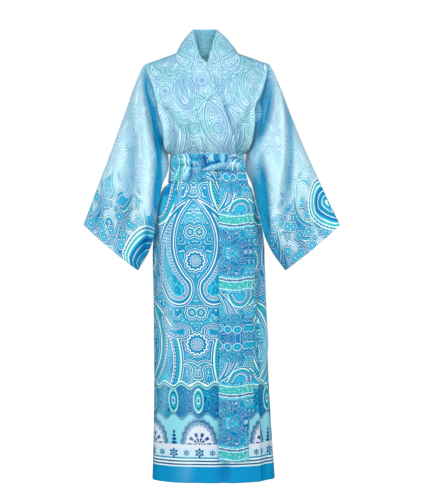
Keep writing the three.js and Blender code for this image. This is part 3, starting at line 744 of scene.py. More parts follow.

# The colour is darkened as painted shade in the pressed folds, beside the armhole and underarm seams and
# under the band's free edge, and lightened as a painted highlight on the ridges. The depth and the height at
# which each is full are in millimetres.
PAINTED_SHADE_COLOUR = "#02A4CC"
DEEP_HOLLOW = 15
PAINTED_HIGHLIGHT_COLOUR = "#7A9AA3"
HIGH_RIDGE = 8


def satin(tree, colour, cut):
    # Printed cotton satin: its floats of thread give a soft half-matt sheen. The weave is drawn at 1.4 mm,
    # coarser than the real one, so that the render shows it.
    shader = tree.nodes["Principled BSDF"]
    # Painted shade: deep places are darkened towards a saturated blue, and raised ones get a painted
    # highlight
    painted_shade = add(tree, "Attribute", attribute_name="painted_shade", out=2)
    sunk = add(tree, "Math", painted_shade, 1 / DEEP_HOLLOW, operation="MULTIPLY", use_clamp=True)
    deep = add(tree, "Mix", 1.0, colour, linear(PAINTED_SHADE_COLOUR), data_type="RGBA", blend_type="MULTIPLY")
    raised = add(tree, "Math", painted_shade, -1 / HIGH_RIDGE, operation="MULTIPLY", use_clamp=True)
    lit = add(tree, "Mix", 1.0, colour, linear(PAINTED_HIGHLIGHT_COLOUR), data_type="RGBA", blend_type="SCREEN")
    tree.links.new(over(tree, raised, over(tree, sunk, colour, deep), lit), shader.inputs["Base Color"])
    shader.inputs["Roughness"].default_value = 0.52
    shader.inputs["Specular IOR Level"].default_value = 0.1
    shader.inputs["Sheen Weight"].default_value = 0.03
    shader.inputs["Sheen Roughness"].default_value = 0.45
    threads = add(tree, "VectorMath", cut, (1 / (THREAD * MM),) * 3, operation="MULTIPLY")
    weave = add(tree, "TexWave", threads, 1.0, 1.5, 2.0, 0.5, wave_type="BANDS", bands_direction="DIAGONAL",
                out=1)
    bump = add(tree, "Bump", WEAVE_STRENGTH, WEAVE_DEPTH, None, weave)
    tree.links.new(bump, shader.inputs["Normal"])


def new_material(name):
    material = bpy.data.materials.new(name)
    material.use_nodes = True
    return material, material.node_tree


def faded(tree, ink, near, place):
    # The pale print: the same drawing in thin inks, where the white outlines turn to blue-green lines on a
    # light ground, with fine lines that follow the motifs
    shade = add(tree, "Math", add(tree, "RGBToBW", ink), 100.0, operation="MULTIPLY")
    soft = ink_steps(tree, shade, PALE_INKS)
    ring = add(tree, "Math", near, 1 / PALE_LINE, operation="MULTIPLY")
    ring = add(tree, "Math", ring, operation="FRACT")
    fine = add(tree, "Math", ring, PALE_LINE_SHARE, operation="LESS_THAN")
    lined = over(tree, fine, soft, linear(PALE_LINE_INK))
    patches = add(tree, "Math", mottled(tree, place, TINT_SIZE, 1.0), 100.0, operation="MULTIPLY")
    tint = ink_steps(tree, patches, TINTS)
    return add(tree, "Mix", 1.0, lined, tint, data_type="RGBA", blend_type="MULTIPLY")


REVERSE_SHARE = 0.3
REVERSE_INK = "#6CE6FF"
PRINT_SHIFT = (40, 0, 0)
CREST_HIGH = 7
CREST_WIDE = 14
CREST_INKS = ((0, WHITE), (4, NAVY), (6, SEA_GREEN), (11, WHITE), (12.5, NAVY))


def robe_satin(name, reverse=False):
    # Pale above the sash and bold below it, where the print is also larger, with the border at the hem
    material, tree = new_material(name)
    cut = add(tree, "UVMap", uv_map="cut")
    bold = add(tree, "Attribute", attribute_name="bold", out=2)
    bold = add(tree, "Math", bold, 0.0, operation="GREATER_THAN")
    large = add(tree, "VectorMath", cut, (1 / MM,) * 3, PRINT_SHIFT, operation="MULTIPLY_ADD")
    small = add(tree, "VectorMath", large, (1 / PALE_SCALE,) * 3, operation="MULTIPLY")
    place = add(tree, "Mix", bold, small, large, data_type="VECTOR")
    ink, near = add(tree, "Group", place, node_tree=paisley_print, out=None)
    across, height, _ = add(tree, "SeparateXYZ", large, out=None)
    crest = add(tree, "Math", across, SCALLOP_TURN, operation="MULTIPLY")
    crest = add(tree, "Math", crest, operation="COSINE")
    below = add(tree, "Math", crest, CREST_HIGH, BORDER_TOP, operation="MULTIPLY_ADD")
    below = add(tree, "Math", below, height, operation="SUBTRACT")
    border = add(tree, "Group", large, node_tree=hem_print)
    on_crest = add(tree, "Math", below, CREST_WIDE, operation="LESS_THAN")
    border = over(tree, on_crest, border, ink_steps(tree, below, CREST_INKS))
    in_border = add(tree, "Math", below, 0.0, operation="GREATER_THAN")
    printed = over(tree, in_border, ink, border)
    colour = over(tree, bold, faded(tree, ink, near, large), printed)
    if reverse:
        colour = over(tree, REVERSE_SHARE, colour, linear(REVERSE_INK))
    satin(tree, colour, cut)
    return material


outside = robe_satin("printed cotton satin")
inside = robe_satin("reverse of the satin", reverse=True)

ARMHOLE_SHADE = 9
SHADE_DEGREES = 6


def armhole_painted_shade(angle, down, side):
    # Painted shade beside the armhole seam, where the body turns in towards it and the sleeve stands over it
    from_seam = np.abs(np.abs((angle + 180) % 360 - 180) - side(down))
    return ARMHOLE_SHADE * (1 - smooth(0, SHADE_DEGREES, from_seam)) * armhole_open(down)


NECK_ANGLE = 180 - math.degrees(math.asin(NECK_HALF / BODY["half"][0]))
NECK_SHARE = (NECK_ANGLE - 90) / 90
SHOULDER_COLUMNS = 36
NECK_COLUMNS = 18
neck_steps = np.arange(NECK_COLUMNS + 1) / NECK_COLUMNS
back_shares = np.concatenate([
    NECK_SHARE * np.arange(SHOULDER_COLUMNS) / SHOULDER_COLUMNS,
    1 - (1 - NECK_SHARE) * np.cos(np.pi / 2 * neck_steps),
])


def back_settled(share, down):
    to_centre = np.clip((1 - share) / (1 - NECK_SHARE), 0, 1)
    dip = BACK_NECK_DROP * np.sqrt(1 - to_centre**2)
    pressed = dip + down * (BACK_NECK_SETTLED - dip) / BACK_NECK_SETTLED
    return np.where(down >= BACK_NECK_SETTLED, down, pressed)


def back_angle(share, down, side):
    settled = back_settled(share, down)
    return side * mix(back_side(settled), 180, share), settled


share, down = np.meshgrid(back_shares, levels)
left_angle, settled = back_angle(share, down, 1)
angle = np.concatenate([left_angle, 360 - left_angle[:, -2::-1]], axis=1)
settled = np.concatenate([settled, settled[:, -2::-1]], axis=1)
row_level = np.broadcast_to(levels[:, None], angle.shape)
back_print = np.stack([girth_at(angle, row_level), SHOULDER_TO_HEM - settled], axis=-1)
BOLD_FROM = 445
back = cloth("back", body_point(angle, settled), back_print, settled - BOLD_FROM,
             painted_shade=body_hollow(angle, settled) + armhole_painted_shade(angle, settled, back_side))
back.data.materials.append(outside)
back.data.materials.append(inside)

# The fronts
# Two panels of the same satin, sewn to the back at the shoulders and sides. The right one laps over the left,
# which slips under it past the right band's free edge, and the sash holds them shut.
UNDER_LAYER = -5.5
UNDER_START = 26
UNDER_FULL = 7
UNDER_FROM = 60
UNDER_BY = 120
EDGE_SHADE = 9
EDGE_SHADE_WIDE = 7
FRONT_COLUMNS = 50

# The right front by length down: how far from the centre its band is sewn on, and the band's free edge lies
FRONT_EDGE = table(
    "down seam edge",
    (0, -96, -39),
    (25, -97, -31),
    (60, -93, -19),
    (108, -86, 0),
    (175, -68, 21),
    (246, -50, 45),
    (316, -27, 71),
    (360, -11, 84),
    (395, -2, 90),
    (484, 17, 108),
    (553, 33, 124),
    (645, 45, 137),
    (771, 49, 141),
    (1016, 52, 144),
    (1416, 57, 149),
)


def seam_angle(down):
    return angle_at(read(FRONT_EDGE, "seam", down), down)


def edge_angle(down):
    return angle_at(read(FRONT_EDGE, "edge", down), down)


def under_shade(angle, down):
    # The left front lies in the shade of the right band's free edge
    past_edge = smooth(0, EDGE_SHADE_WIDE, angle - edge_angle(down))
    return EDGE_SHADE * (1 - past_edge) * smooth(UNDER_FROM, UNDER_BY, down)


def under_layer(angle, down):
    edge = edge_angle(down)
    under = smooth(edge + UNDER_START, edge + UNDER_FULL, angle)
    return UNDER_LAYER * under * smooth(UNDER_FROM, UNDER_BY, down)


column, down = np.meshgrid(np.arange(FRONT_COLUMNS + 1) / FRONT_COLUMNS, levels)
for name, angle, layer in (
    ("front_right", mix(-front_side(down), seam_angle(down), column), 0),
    ("front_left", mix(-seam_angle(down), front_side(down), column), UNDER_LAYER),
):
    outward = under_layer(angle, down) if layer else 0 * angle
    front_print = np.stack([girth_at(angle, down), SHOULDER_TO_HEM - down], axis=-1)
    shade = under_shade(angle, down) if layer else 0 * angle
    front = cloth(name, body_point(angle, down, outward), front_print, down - BOLD_FROM,
                  painted_shade=body_hollow(angle, down) + armhole_painted_shade(angle, down, front_side) + shade)
    front.data.materials.append(outside)
    front.data.materials.append(inside)

# The front band
# A double strip of the satin, about 9 cm wide, sewn along both fronts' edges and round the back of the neck,
# where it stands as the collar. It is in two halves that meet at the centre back.
BAND_THICKNESS = 1.9
BAND_COLUMNS = 20
EDGE_LIFT = 28
BAND_LEVEL = (300, 480)
BAND_BEHIND = (40, 100)
BAND_EDGE_FLAT = (95, 150)
BAND_MIDDLE_FLAT = (60, 190)
NECK_LEAN = -7
NECK_BACK_DEPTH = 50
NECK_BACK_UP = 87
NECK_BULGE = 5
NECK_BULGE_WAY = (-0.5, 0.4)
NECK_EDGE = table(
    "down out back up",
    (0, 38, 4, 77),
    (25, 32, -14, 56),
    (54, 25, -34, 26),
    (93, 16, -53, -9),
    (138, 6, -70, -44),
)


def band_rows(seam, middle, edge):
    t = (np.arange(BAND_COLUMNS + 1) / BAND_COLUMNS)[None, :, None]
    through = seam[:, None] * (1 - t) * (1 - 2 * t) + middle[:, None] * 4 * t * (1 - t)
    return through + edge[:, None] * t * (2 * t - 1)


def band_front(down, side):
    edge_down = np.maximum(0, down - EDGE_LIFT * (1 - smooth(*BAND_LEVEL, down)))
    seam_turn = -side * seam_angle(down)
    edge_turn = -side * edge_angle(edge_down)

    def on_front(turn, at):
        return body_point(turn, at, under_layer(turn, at) if side > 0 else 0 * at)

    seam = on_front(seam_turn, down)
    on_body = on_front(edge_turn, edge_down)
    behind = -UNDER_LAYER * smooth(*BAND_BEHIND, down) if side > 0 else 0
    out, back_by, up = (read(NECK_EDGE, key, down) for key in ("out", "back", "up"))
    at_neck = np.stack([NECK_LEAN + side * out, back_by + behind, up], axis=-1)
    edge = mix(at_neck, on_body, smooth(*BAND_EDGE_FLAT, down)[:, None])
    middle_on_body = on_front((seam_turn + edge_turn) / 2, (down + edge_down) / 2)
    outward = unit(np.array([side, *NECK_BULGE_WAY]))
    middle_at_neck = (seam + edge) / 2 + outward * NECK_BULGE
    middle = mix(middle_at_neck, middle_on_body, smooth(*BAND_MIDDLE_FLAT, down)[:, None])
    return band_rows(seam, middle, edge)


def band_back(share, side):
    turn, settled = back_angle(share, 0 * share, side)
    seam = body_point(turn, settled)
    to_centre = (1 - share) / (1 - NECK_SHARE)
    bend = np.sqrt(1 - to_centre**2)
    out, back_by, up = (NECK_EDGE[key][0] for key in ("out", "back", "up"))
    x = NECK_LEAN + side * out * to_centre
    edge = np.stack([x, mix(back_by, NECK_BACK_DEPTH, bend), mix(up, NECK_BACK_UP, bend)], axis=-1)
    outward = unit(np.stack([side * to_centre, 1 - to_centre, 0 * share], axis=-1))
    return band_rows(seam, (seam + edge) / 2 + outward * NECK_BULGE, edge)


def lengths_along(points, axis):
    steps = np.linalg.norm(np.diff(points, axis=axis), axis=-1)
    start = np.zeros_like(np.take(steps, [0], axis=axis))
    return np.concatenate([start, np.cumsum(steps, axis=axis)], axis=axis)


neck_shares = back_shares[SHOULDER_COLUMNS + 1 :][::-1]
for name, side in (("band_right", -1), ("band_left", 1)):
    points = np.concatenate([band_back(neck_shares, side), band_front(levels, side)])
    across = lengths_along(points, 1)
    length = lengths_along(points, 0)[:, :1]
    past_shoulder = np.maximum(0, length[len(neck_shares)] - length)
    band_down = np.concatenate([0 * neck_shares, levels])[:, None] + 0 * across
    band_print = np.stack([across, SHOULDER_TO_HEM - band_down + past_shoulder], axis=-1)
    band = cloth(name, points, band_print, band_down - BOLD_FROM, turned=side < 0,
                 thickness=BAND_THICKNESS, stands_for=(name, name + "_skirt"))
    band.data.materials.append(outside)
    band.data.materials.append(inside)

# The sleeves
# Two wide straight sleeves of the satin, set into the armholes, each folded along its top and sewn along its
# underarm, with an open cuff. They hang from arms held a little away from the sides.
SLEEVE_ROWS = 96
SLEEVE_ROW_POWER = 1.15
SLEEVE_TOP = table(
    "along out back up",
    (0, 197, 0, -33),
    (0.1, 220, 3, -83),
    (0.25, 249, 3, -159),
    (0.4, 277, 0, -234),
    (0.55, 306, -4, -310),
    (0.7, 337, -10, -385),
    (0.85, 368, -15, -461),
    (1, 400, -20, -536),
)
SLEEVE_UNDER = table(
    "along out back up",
    (0, 122, 0, -311),
    (0.1, 118, -36, -358),
    (0.25, 139, -46, -412),
    (0.4, 149, -54, -462),
    (0.55, 159, -60, -512),
    (0.7, 169, -60, -564),
    (0.85, 190, -50, -618),
    (1, 229, -38, -678),
)
SLEEVE_DEPTH = table(
    "along front rear",
    (0, 50, 46),
    (0.1, 50, 44),
    (0.25, 52, 42),
    (0.4, 50, 40),
    (0.55, 46, 38),
    (0.7, 40, 36),
    (0.85, 34, 34),
    (1, 30, 30),
)
SLEEVE_ROOT = 0.22
UNDERARM_FLATTER = 0.35
EASE_SWELL = 12
EASE_START = (0, 0.06)
EASE_GONE = (0.08, 0.35)
CUFF_DROP = 9
CUFF_IN = 5.4
CUFF_FROM = 0.6
CUFF_SHIFT = 15
SLEEVE_CREASES = {
    1: table(
        "x0 z0 x1 z1 wide height face",
        (219, -60, 221, -450, 8, 11, 1),
        (238, -70, 240, -500, 13, -11, 1),
        (203, -70, 150, -300, 13, -15, 1),
        (150, -290, 180, -590, 17, -17, 1),
        (196, -280, 206, -600, 15, 8, 1),
        (262, -240, 318, -470, 22, 6, 1),
        (330, -420, 352, -560, 16, -6, 1),
        (280, -480, 290, -640, 13, -5, 1),
        (225, -90, 300, -430, 14, -8, -1),
        (190, -150, 225, -560, 16, 8, -1),
        (250, -230, 330, -540, 18, 6, -1),
    ),
    -1: table(
        "x0 z0 x1 z1 wide height face",
        (-203, -66, -150, -300, 13, -15, 1),
        (-176, -110, -158, -480, 14, -17, 1),
        (-190, -130, -208, -600, 17, 10, 1),
        (-240, -180, -262, -560, 20, -8, 1),
        (-262, -200, -310, -480, 22, 7, 1),
        (-186, -500, -206, -640, 12, -8, 1),
        (-330, -440, -352, -560, 15, -6, 1),
        (-225, -90, -300, -430, 14, -8, -1),
        (-190, -150, -225, -560, 16, 8, -1),
        (-250, -230, -330, -540, 18, 6, -1),
    ),
}
# A strip of painted shade beside the underarm seam, and painted shade in the valley at the armhole
STRIP = (20, 52)
STRIP_SHADE = 10
STRIP_START = (0.08, 0.3)
VALLEY = (0, 0.08)
VALLEY_SHADE = 11


def sleeve_painted_shade(points, turn, along, side, from_seam):
    # Painted shade from the creases, with a painted highlight on their ridges, a strip of painted shade
    # beside the underarm seam, and painted shade in the valley at the armhole
    folds = -crease_height(SLEEVE_CREASES[side], points[..., 0], points[..., 2], np.sin(turn))
    strip = STRIP_SHADE * (1 - smooth(*STRIP, from_seam)) * smooth(*STRIP_START, along)
    valley = VALLEY_SHADE * (1 - smooth(*VALLEY, along)) * np.abs(np.sin(turn))
    return folds + np.maximum(strip, valley)


def sleeve_point(turn, along, side):
    def between(column, share):
        return mix(read(SLEEVE_TOP, column, along), read(SLEEVE_UNDER, column, along), share)

    share = (1 - np.cos(turn)) / 2
    in_front = np.sin(turn) >= 0
    down = ARMHOLE_LENGTH * share
    armhole = body_point(side * np.where(in_front, front_side(down), back_side(down)), down)
    bow = np.sin(turn) * (1 - UNDERARM_FLATTER * share)
    depth = np.where(in_front, read(SLEEVE_DEPTH, "front", along), read(SLEEVE_DEPTH, "rear", along))
    sag = np.sin(np.pi * share) * smooth(CUFF_FROM, 1, along)
    x = side * (between("out", share) - CUFF_IN * sag) + CUFF_SHIFT * along**2
    y = between("back", share) - bow * depth
    z = between("up", share) - CUFF_DROP * sag
    y = y - np.sin(turn) * crease_height(SLEEVE_CREASES[side], x, z, np.sin(turn))
    blend = 1 - (1 - np.minimum(1, along / SLEEVE_ROOT)) ** 2
    ease = smooth(*EASE_START, along) * (1 - smooth(*EASE_GONE, along))
    ease = EASE_SWELL * np.abs(np.sin(turn)) * ease
    point = mix(armhole, np.stack([x, y, z], axis=-1), blend[..., None])
    point[..., 0] += side * ease
    return point


# Their print is pale, lightened a little towards near-white as painted light, with motifs and small flowers
# in bold inks near the cuff, in millimetres from its edge
SLEEVE_PAINTED_LIGHT = 0.2
PAINTED_LIGHT_TINT = "#E6F2F5"
CUFF_PRINT = 190
CUFF_WAVE = 26
CUFF_WAVE_TURN = 0.06
MOTIF_RIM = 4.0
CUFF_FLOWER_SPACING = 44
CUFF_FLOWER_REACH = 17
CUFF_FLOWER_SWELL = 0.15
SCATTER = 0.8
CUFF_GARLAND = 150
CORNER_INKS = (
    (0, WHITE), (4.5, NAVY), (8.5, WHITE), (13, CYAN), (16, SEA_GREEN), (20, WHITE), (25, AQUA), (30, BLUE),
    (39, WHITE), (42, TURQUOISE), (52, NAVY), (54, WHITE), (57, AQUA), (66, NAVY), (68, WHITE),
)
CORNER_DOTS = (9, 7, 2.1, CYAN)


def cuff_flowers(tree, place):
    # Small six-petalled flowers, scattered, as their ink and the distance from the nearest one's centre
    cells = add(tree, "VectorMath", place, (1 / CUFF_FLOWER_SPACING,) * 3, operation="MULTIPLY")
    centre = add(tree, "TexVoronoi", cells, 1.0, 0.0, 0.5, 2.0, SCATTER, voronoi_dimensions="2D", out=2)
    offset = add(tree, "VectorMath", cells, centre, operation="SUBTRACT")
    flower_x, flower_y, _ = add(tree, "SeparateXYZ", offset, out=None)
    turn = add(tree, "Math", flower_y, flower_x, operation="ARCTAN2")
    waves = add(tree, "Math", turn, FLOWER_PETALS, operation="MULTIPLY")
    waves = add(tree, "Math", waves, operation="COSINE")
    swell = add(tree, "Math", waves, CUFF_FLOWER_SWELL, 1.0, operation="MULTIPLY_ADD")
    reach = add(tree, "VectorMath", offset, operation="LENGTH")
    reach = add(tree, "Math", reach, CUFF_FLOWER_SPACING, operation="MULTIPLY")
    at = add(tree, "Math", reach, swell, operation="MULTIPLY")
    flower = ink_steps(tree, at, ((0, WHITE), (2.5, BLUE), (5, CYAN), (9, TURQUOISE), (12.5, WHITE),
                                  (14.5, NAVY)))
    return flower, at


def sleeve_satin(name, shift, corner):
    # The same satin, lightened a little as painted light, with bold motifs near the cuff and one large
    # paisley at its edge
    material, tree = new_material(name)
    cut = add(tree, "UVMap", uv_map="cut")
    spot = add(tree, "VectorMath", cut, (1 / MM,) * 3, operation="MULTIPLY")
    place = add(tree, "VectorMath", spot, (*shift, 0), operation="ADD")
    small = add(tree, "VectorMath", place, (1 / PALE_SCALE,) * 3, operation="MULTIPLY")
    ink, near = add(tree, "Group", small, node_tree=paisley_print, out=None)
    pale = over(tree, SLEEVE_PAINTED_LIGHT, faded(tree, ink, near, place), linear(PAINTED_LIGHT_TINT))
    across, from_cuff, _ = add(tree, "SeparateXYZ", spot, out=None)
    wave = add(tree, "Math", across, CUFF_WAVE_TURN, operation="MULTIPLY")
    wave = add(tree, "Math", wave, operation="SINE")
    edge = add(tree, "Math", wave, CUFF_WAVE, from_cuff, operation="MULTIPLY_ADD")
    low = add(tree, "Math", edge, CUFF_PRINT, operation="LESS_THAN")
    on_motif = add(tree, "Math", near, MOTIF_RIM, operation="LESS_THAN")
    colour = over(tree, add(tree, "Math", low, on_motif, operation="MULTIPLY"), pale, ink)
    flowers, flower_at = cuff_flowers(tree, place)
    on_flower = add(tree, "Math", flower_at, CUFF_FLOWER_REACH, operation="LESS_THAN")
    garland = add(tree, "Math", edge, CUFF_GARLAND, operation="LESS_THAN")
    colour = over(tree, add(tree, "Math", on_flower, garland, operation="MULTIPLY"), colour, flowers)
    distance, along = add(tree, "Group", spot, *corner, node_tree=paisley, out=None)
    depth = add(tree, "Math", distance, -1.0, operation="MULTIPLY")
    large = dots(tree, ink_steps(tree, depth, CORNER_INKS), along, depth, *CORNER_DOTS)
    in_corner = add(tree, "Math", distance, 0.0, operation="LESS_THAN")
    colour = over(tree, in_corner, colour, large)
    satin(tree, colour, cut)
    return material


# The large paisley of each sleeve: its centre, the angle of its head, the way it turns, its circle's radius,
# its head's radius and the angle that it sweeps. The left sleeve's print is shifted along the cloth.
RIGHT_CORNER = ((590, 16, 0), math.radians(180), 1, 302, 122, math.radians(20))
LEFT_CORNER = ((-104, 84, 0), 0.0, -1, 120, 76, math.radians(62))
LEFT_SHIFT = (0, 90)
sleeve_outside = {
    -1: sleeve_satin("printed cotton satin, right sleeve", (0, 0), RIGHT_CORNER),
    1: sleeve_satin("printed cotton satin, left sleeve", LEFT_SHIFT, LEFT_CORNER),
}

# The reverse is printed boldly as far as this from the cuff
CUFF_BOLD = 230
for name, side in (("sleeve_right", -1), ("sleeve_left", 1)):
    turns = np.pi * (np.arange(2 * ARMHOLE_ROWS + 1) / ARMHOLE_ROWS - 1)
    rows = (np.arange(SLEEVE_ROWS + 1) / SLEEVE_ROWS) ** SLEEVE_ROW_POWER
    turn, along = np.meshgrid(turns, rows)
    points = sleeve_point(turn, along, side)
    round_length = lengths_along(points, 1)
    round_length -= round_length[:, ARMHOLE_ROWS : ARMHOLE_ROWS + 1]
    from_cuff = lengths_along(points[::-1], 0)[::-1]
    sleeve_print = np.stack([round_length, from_cuff], axis=-1)
    from_seam = np.minimum(round_length - round_length[:, :1], round_length[:, -1:] - round_length)
    sleeve = cloth(name, points, sleeve_print, CUFF_BOLD - from_cuff, turned=side < 0,
                   ring=True, painted_shade=sleeve_painted_shade(points, turn, along, side, from_seam))
    sleeve.data.materials.append(sleeve_outside[side])
    sleeve.data.materials.append(inside)

# The sash
# A long strip of the same satin, about 9 cm wide, wound round the waist over everything and tied in front,
# where its two ends hang from a flat knot.
SASH_TOP = 401
SASH_BOTTOM = 490
SASH_OUT = 4.5
SASH_BOW = 2
SASH_THICKNESS = 1.4
SASH_ROWS = 24
SASH_COLUMNS = 180
HIP = 650
TAIL_TOP_IN = 14
TAIL_GATHER = 24
TAIL_SPREAD = 130
TAIL_TOP = 446
TAIL_ROW = 45.2
TAIL_STEPS = 9
TAIL_COLUMNS = 22
TAILS = {
    "sash_end_upper": {"left": 37, "rows": 20, "out": 6.3, "creased": True},
    "sash_end_under": {"left": 52, "rows": 17, "out": 4, "creased": False},
}
KNOT_LEFT = -16
KNOT_RIGHT = 104
KNOT_TOP = 396
KNOT_BOTTOM = 458
KNOT_COLUMNS = 30
KNOT_ROWS = 24
KNOT_REST = 9
KNOT_SWELL = 7
KNOT_LEFT_DIP = 10
KNOT_OVER_ENDS = 8.8
KNOT_MEETS_ENDS = (10, 38)
KNOT_MEETS_BY = 438

# Folds of the sash and its knot, as seen from the front: the sash is dragged towards the knot, which is one
# end turned up over it and pulled down again
SASH_CREASES = table(
    "x0 z0 x1 z1 wide height face",
    (-72, -306, -66, -402, 5, 4, 1),
    (-54, -306, -50, -402, 4, -4, 1),
    (-88, -306, -84, -402, 4, -3, 1),
    (-108, -338, -20, -352, 5, 2.5, 1),
    (-100, -372, -14, -366, 5, 2.5, 1),
    (-96, -352, -30, -362, 4, -2.5, 1),
    (-60, -330, -10, -338, 5, -2, 1),
    (-112, -392, -40, -385, 4, 2, 1),
    (-90, -345, 0, -360, 6, 3, -1),
    (20, -350, 95, -372, 6, 3, -1),
    (-40, -378, 60, -384, 5, -3, -1),
)
KNOT_CREASES = table(
    "x0 z0 x1 z1 wide height face",
    (-18, -378, 56, -352, 6, 6, 1),
    (-14, -362, 48, -344, 5, -6, 1),
    (-12, -318, -2, -356, 7, -5, 1),
    (12, -314, 16, -348, 5, 4, 1),
    (28, -314, 36, -350, 6, -4, 1),
    (50, -316, 48, -350, 5, 5, 1),
    (62, -318, 60, -352, 5, -6, 1),
    (70, -350, 104, -360, 6, 6, 1),
    (72, -332, 106, -338, 5, -4, 1),
    (88, -316, 84, -330, 5, 4, 1),
)
TAIL_CREASES = table(
    "x0 z0 x1 z1 wide height face",
    (58, -372, 66, -520, 6, 3, 1),
    (80, -372, 78, -470, 5, -4, 1),
    (100, -374, 104, -620, 6, 3, 1),
    (90, -640, 84, -1000, 12, 3, 1),
    (60, -760, 64, -1240, 10, -3, 1),
    (112, -900, 108, -1250, 8, 3, 1),
)
# How much painted shade, or painted highlight on a ridge, each millimetre of the sash's and knot's folds
# gives
SASH_PAINTED_SHADE_GAIN = 3


def moved_out(points, creases):
    # Moves the cloth out by the creases, and gives their painted shade, negative as a painted highlight on
    # ridges
    heights = crease_height(creases, points[..., 0], points[..., 2], -np.sign(points[..., 1]))
    outward = unit(points * (1, 1, 0))
    return points + outward * heights[..., None], -SASH_PAINTED_SHADE_GAIN * heights


# The sash's print runs in bands across it, mirrored along its length and bowed a little
SASH_REPEAT = 260
SASH_BOWED = -7
SASH_WIDTH = 90
SASH_SCROLL_SIZE = 24
SASH_MOTIF_SCALE = 1.5
SASH_MOTIF_SHIFT = (30, 90, 0)
SASH_MOTIFS = (105.0, 30.0)
SASH_STRIPES = (163.0, 27.0)
SASH_MARK_SIZE = 6.0
SASH_MARK_SHARE = 0.3
RING_SPACING = 27
RING_ROW = 26.0
RING_RADIUS = 12.0


def sash_satin(name, shift):
    # The same satin, printed in crosswise bands. The shift moves them along the sash, in millimetres.
    material, tree = new_material(name)
    cut = add(tree, "UVMap", uv_map="cut")
    spot = add(tree, "VectorMath", cut, (1 / MM,) * 3, (0, shift, 0), operation="MULTIPLY_ADD")
    across, along, _ = add(tree, "SeparateXYZ", spot, out=None)
    bow = add(tree, "Math", across, math.pi / SASH_WIDTH, operation="MULTIPLY")
    bow = add(tree, "Math", bow, operation="SINE")
    bowed = add(tree, "Math", bow, SASH_BOWED, along, operation="MULTIPLY_ADD")
    at = add(tree, "Math", bowed, SASH_REPEAT, operation="PINGPONG")
    place = add(tree, "CombineXYZ", across, at)
    ink = filigree(tree, place, SASH_SCROLL_SIZE, SCROLL_LINES, ((NAVY, 0.3), (MIST, 0.12)),
                   ((0, BLUE), (44, TURQUOISE), (52, AQUA)))
    large = add(tree, "VectorMath", place, (SASH_MOTIF_SCALE,) * 3, operation="MULTIPLY")
    large = add(tree, "VectorMath", large, SASH_MOTIF_SHIFT, operation="ADD")
    motifs = add(tree, "Group", large, node_tree=paisley_print)
    in_motifs = add(tree, "Math", at, *SASH_MOTIFS, operation="COMPARE")
    ink = over(tree, in_motifs, ink, motifs)
    ring_x = add(tree, "Math", across, RING_SPACING / 2, operation="PINGPONG")
    ring_y = add(tree, "Math", at, RING_ROW, operation="SUBTRACT")
    ring_at = add(tree, "VectorMath", add(tree, "CombineXYZ", ring_x, ring_y), operation="LENGTH")
    rings = ink_steps(tree, ring_at, ((0, CYAN), (2.5, TURQUOISE), (6, AQUA), (7.5, TURQUOISE),
                                      (10.5, WHITE)))
    on_ring = add(tree, "Math", ring_at, RING_RADIUS, operation="LESS_THAN")
    ink = over(tree, on_ring, ink, rings)
    bands = ink_steps(tree, at, (
        (0, NAVY), (138, AQUA), (146, WHITE), (149, SEA_GREEN), (170, WHITE), (173, NAVY), (179, WHITE),
        (182, CYAN), (189, NAVY),
    ))
    marks = lace(tree, place, SASH_MARK_SIZE, ((0, NAVY), (1.2, AQUA), (2.2, TURQUOISE), (3.2, WHITE)))
    in_stripes = add(tree, "Math", at, *SASH_STRIPES, operation="COMPARE")
    ink = over(tree, in_stripes, ink, over(tree, SASH_MARK_SHARE, bands, marks))
    satin(tree, ink, cut)
    return material


sash_outside = sash_satin("printed cotton satin, sash", 0)
BELT_SHIFT = 108
belt_outside = sash_satin("printed cotton satin, round the waist", BELT_SHIFT)

turn, share = np.meshgrid(np.linspace(0, 360, SASH_COLUMNS + 1), np.linspace(0, 1, SASH_ROWS + 1))
sash_out = SASH_OUT + SASH_BOW * np.sin(np.pi * share)
sash_points = body_point(turn, mix(SASH_TOP, SASH_BOTTOM, share), sash_out)
sash_print = np.stack([SASH_WIDTH * (1 - share), lengths_along(sash_points, 1)], axis=-1)
sash_points, sash_painted_shade = moved_out(sash_points, SASH_CREASES)
sash = cloth("sash", sash_points, sash_print, 0 * share, ring=True,
             thickness=SASH_THICKNESS, painted_shade=sash_painted_shade)
sash.data.materials.append(belt_outside)
sash.data.materials.append(belt_outside)


def tail_point(x, down, out):
    resting = np.maximum(down, HIP)
    point = body_point(angle_at(x - read(BODY, "lean", resting), resting), resting, out)
    point[..., 1] += TAIL_TOP_IN * (1 - smooth(TAIL_TOP, HIP, down))
    point[..., 2] += read(BODY, "height", down) - read(BODY, "height", resting)
    return point


for name, tail in TAILS.items():
    length = tail["rows"] * TAIL_ROW
    fallen = np.linspace(0, length, TAIL_STEPS * tail["rows"] + 1)
    across, fallen = np.meshgrid(np.linspace(0, 1, TAIL_COLUMNS + 1), fallen)
    tail_down = TAIL_TOP + fallen
    width = SASH_WIDTH - TAIL_GATHER * (1 - smooth(TAIL_TOP, TAIL_TOP + TAIL_SPREAD, tail_down))
    points = tail_point(tail["left"] + width * across, tail_down, tail["out"] + 0 * across)
    tail_print = np.stack([SASH_WIDTH * across, fallen], axis=-1)
    if tail["creased"]:
        points, _ = moved_out(points, TAIL_CREASES)
    end = cloth(name, points, tail_print, 0 * across, thickness=SASH_THICKNESS)
    end.data.materials.append(sash_outside)
    end.data.materials.append(sash_outside)

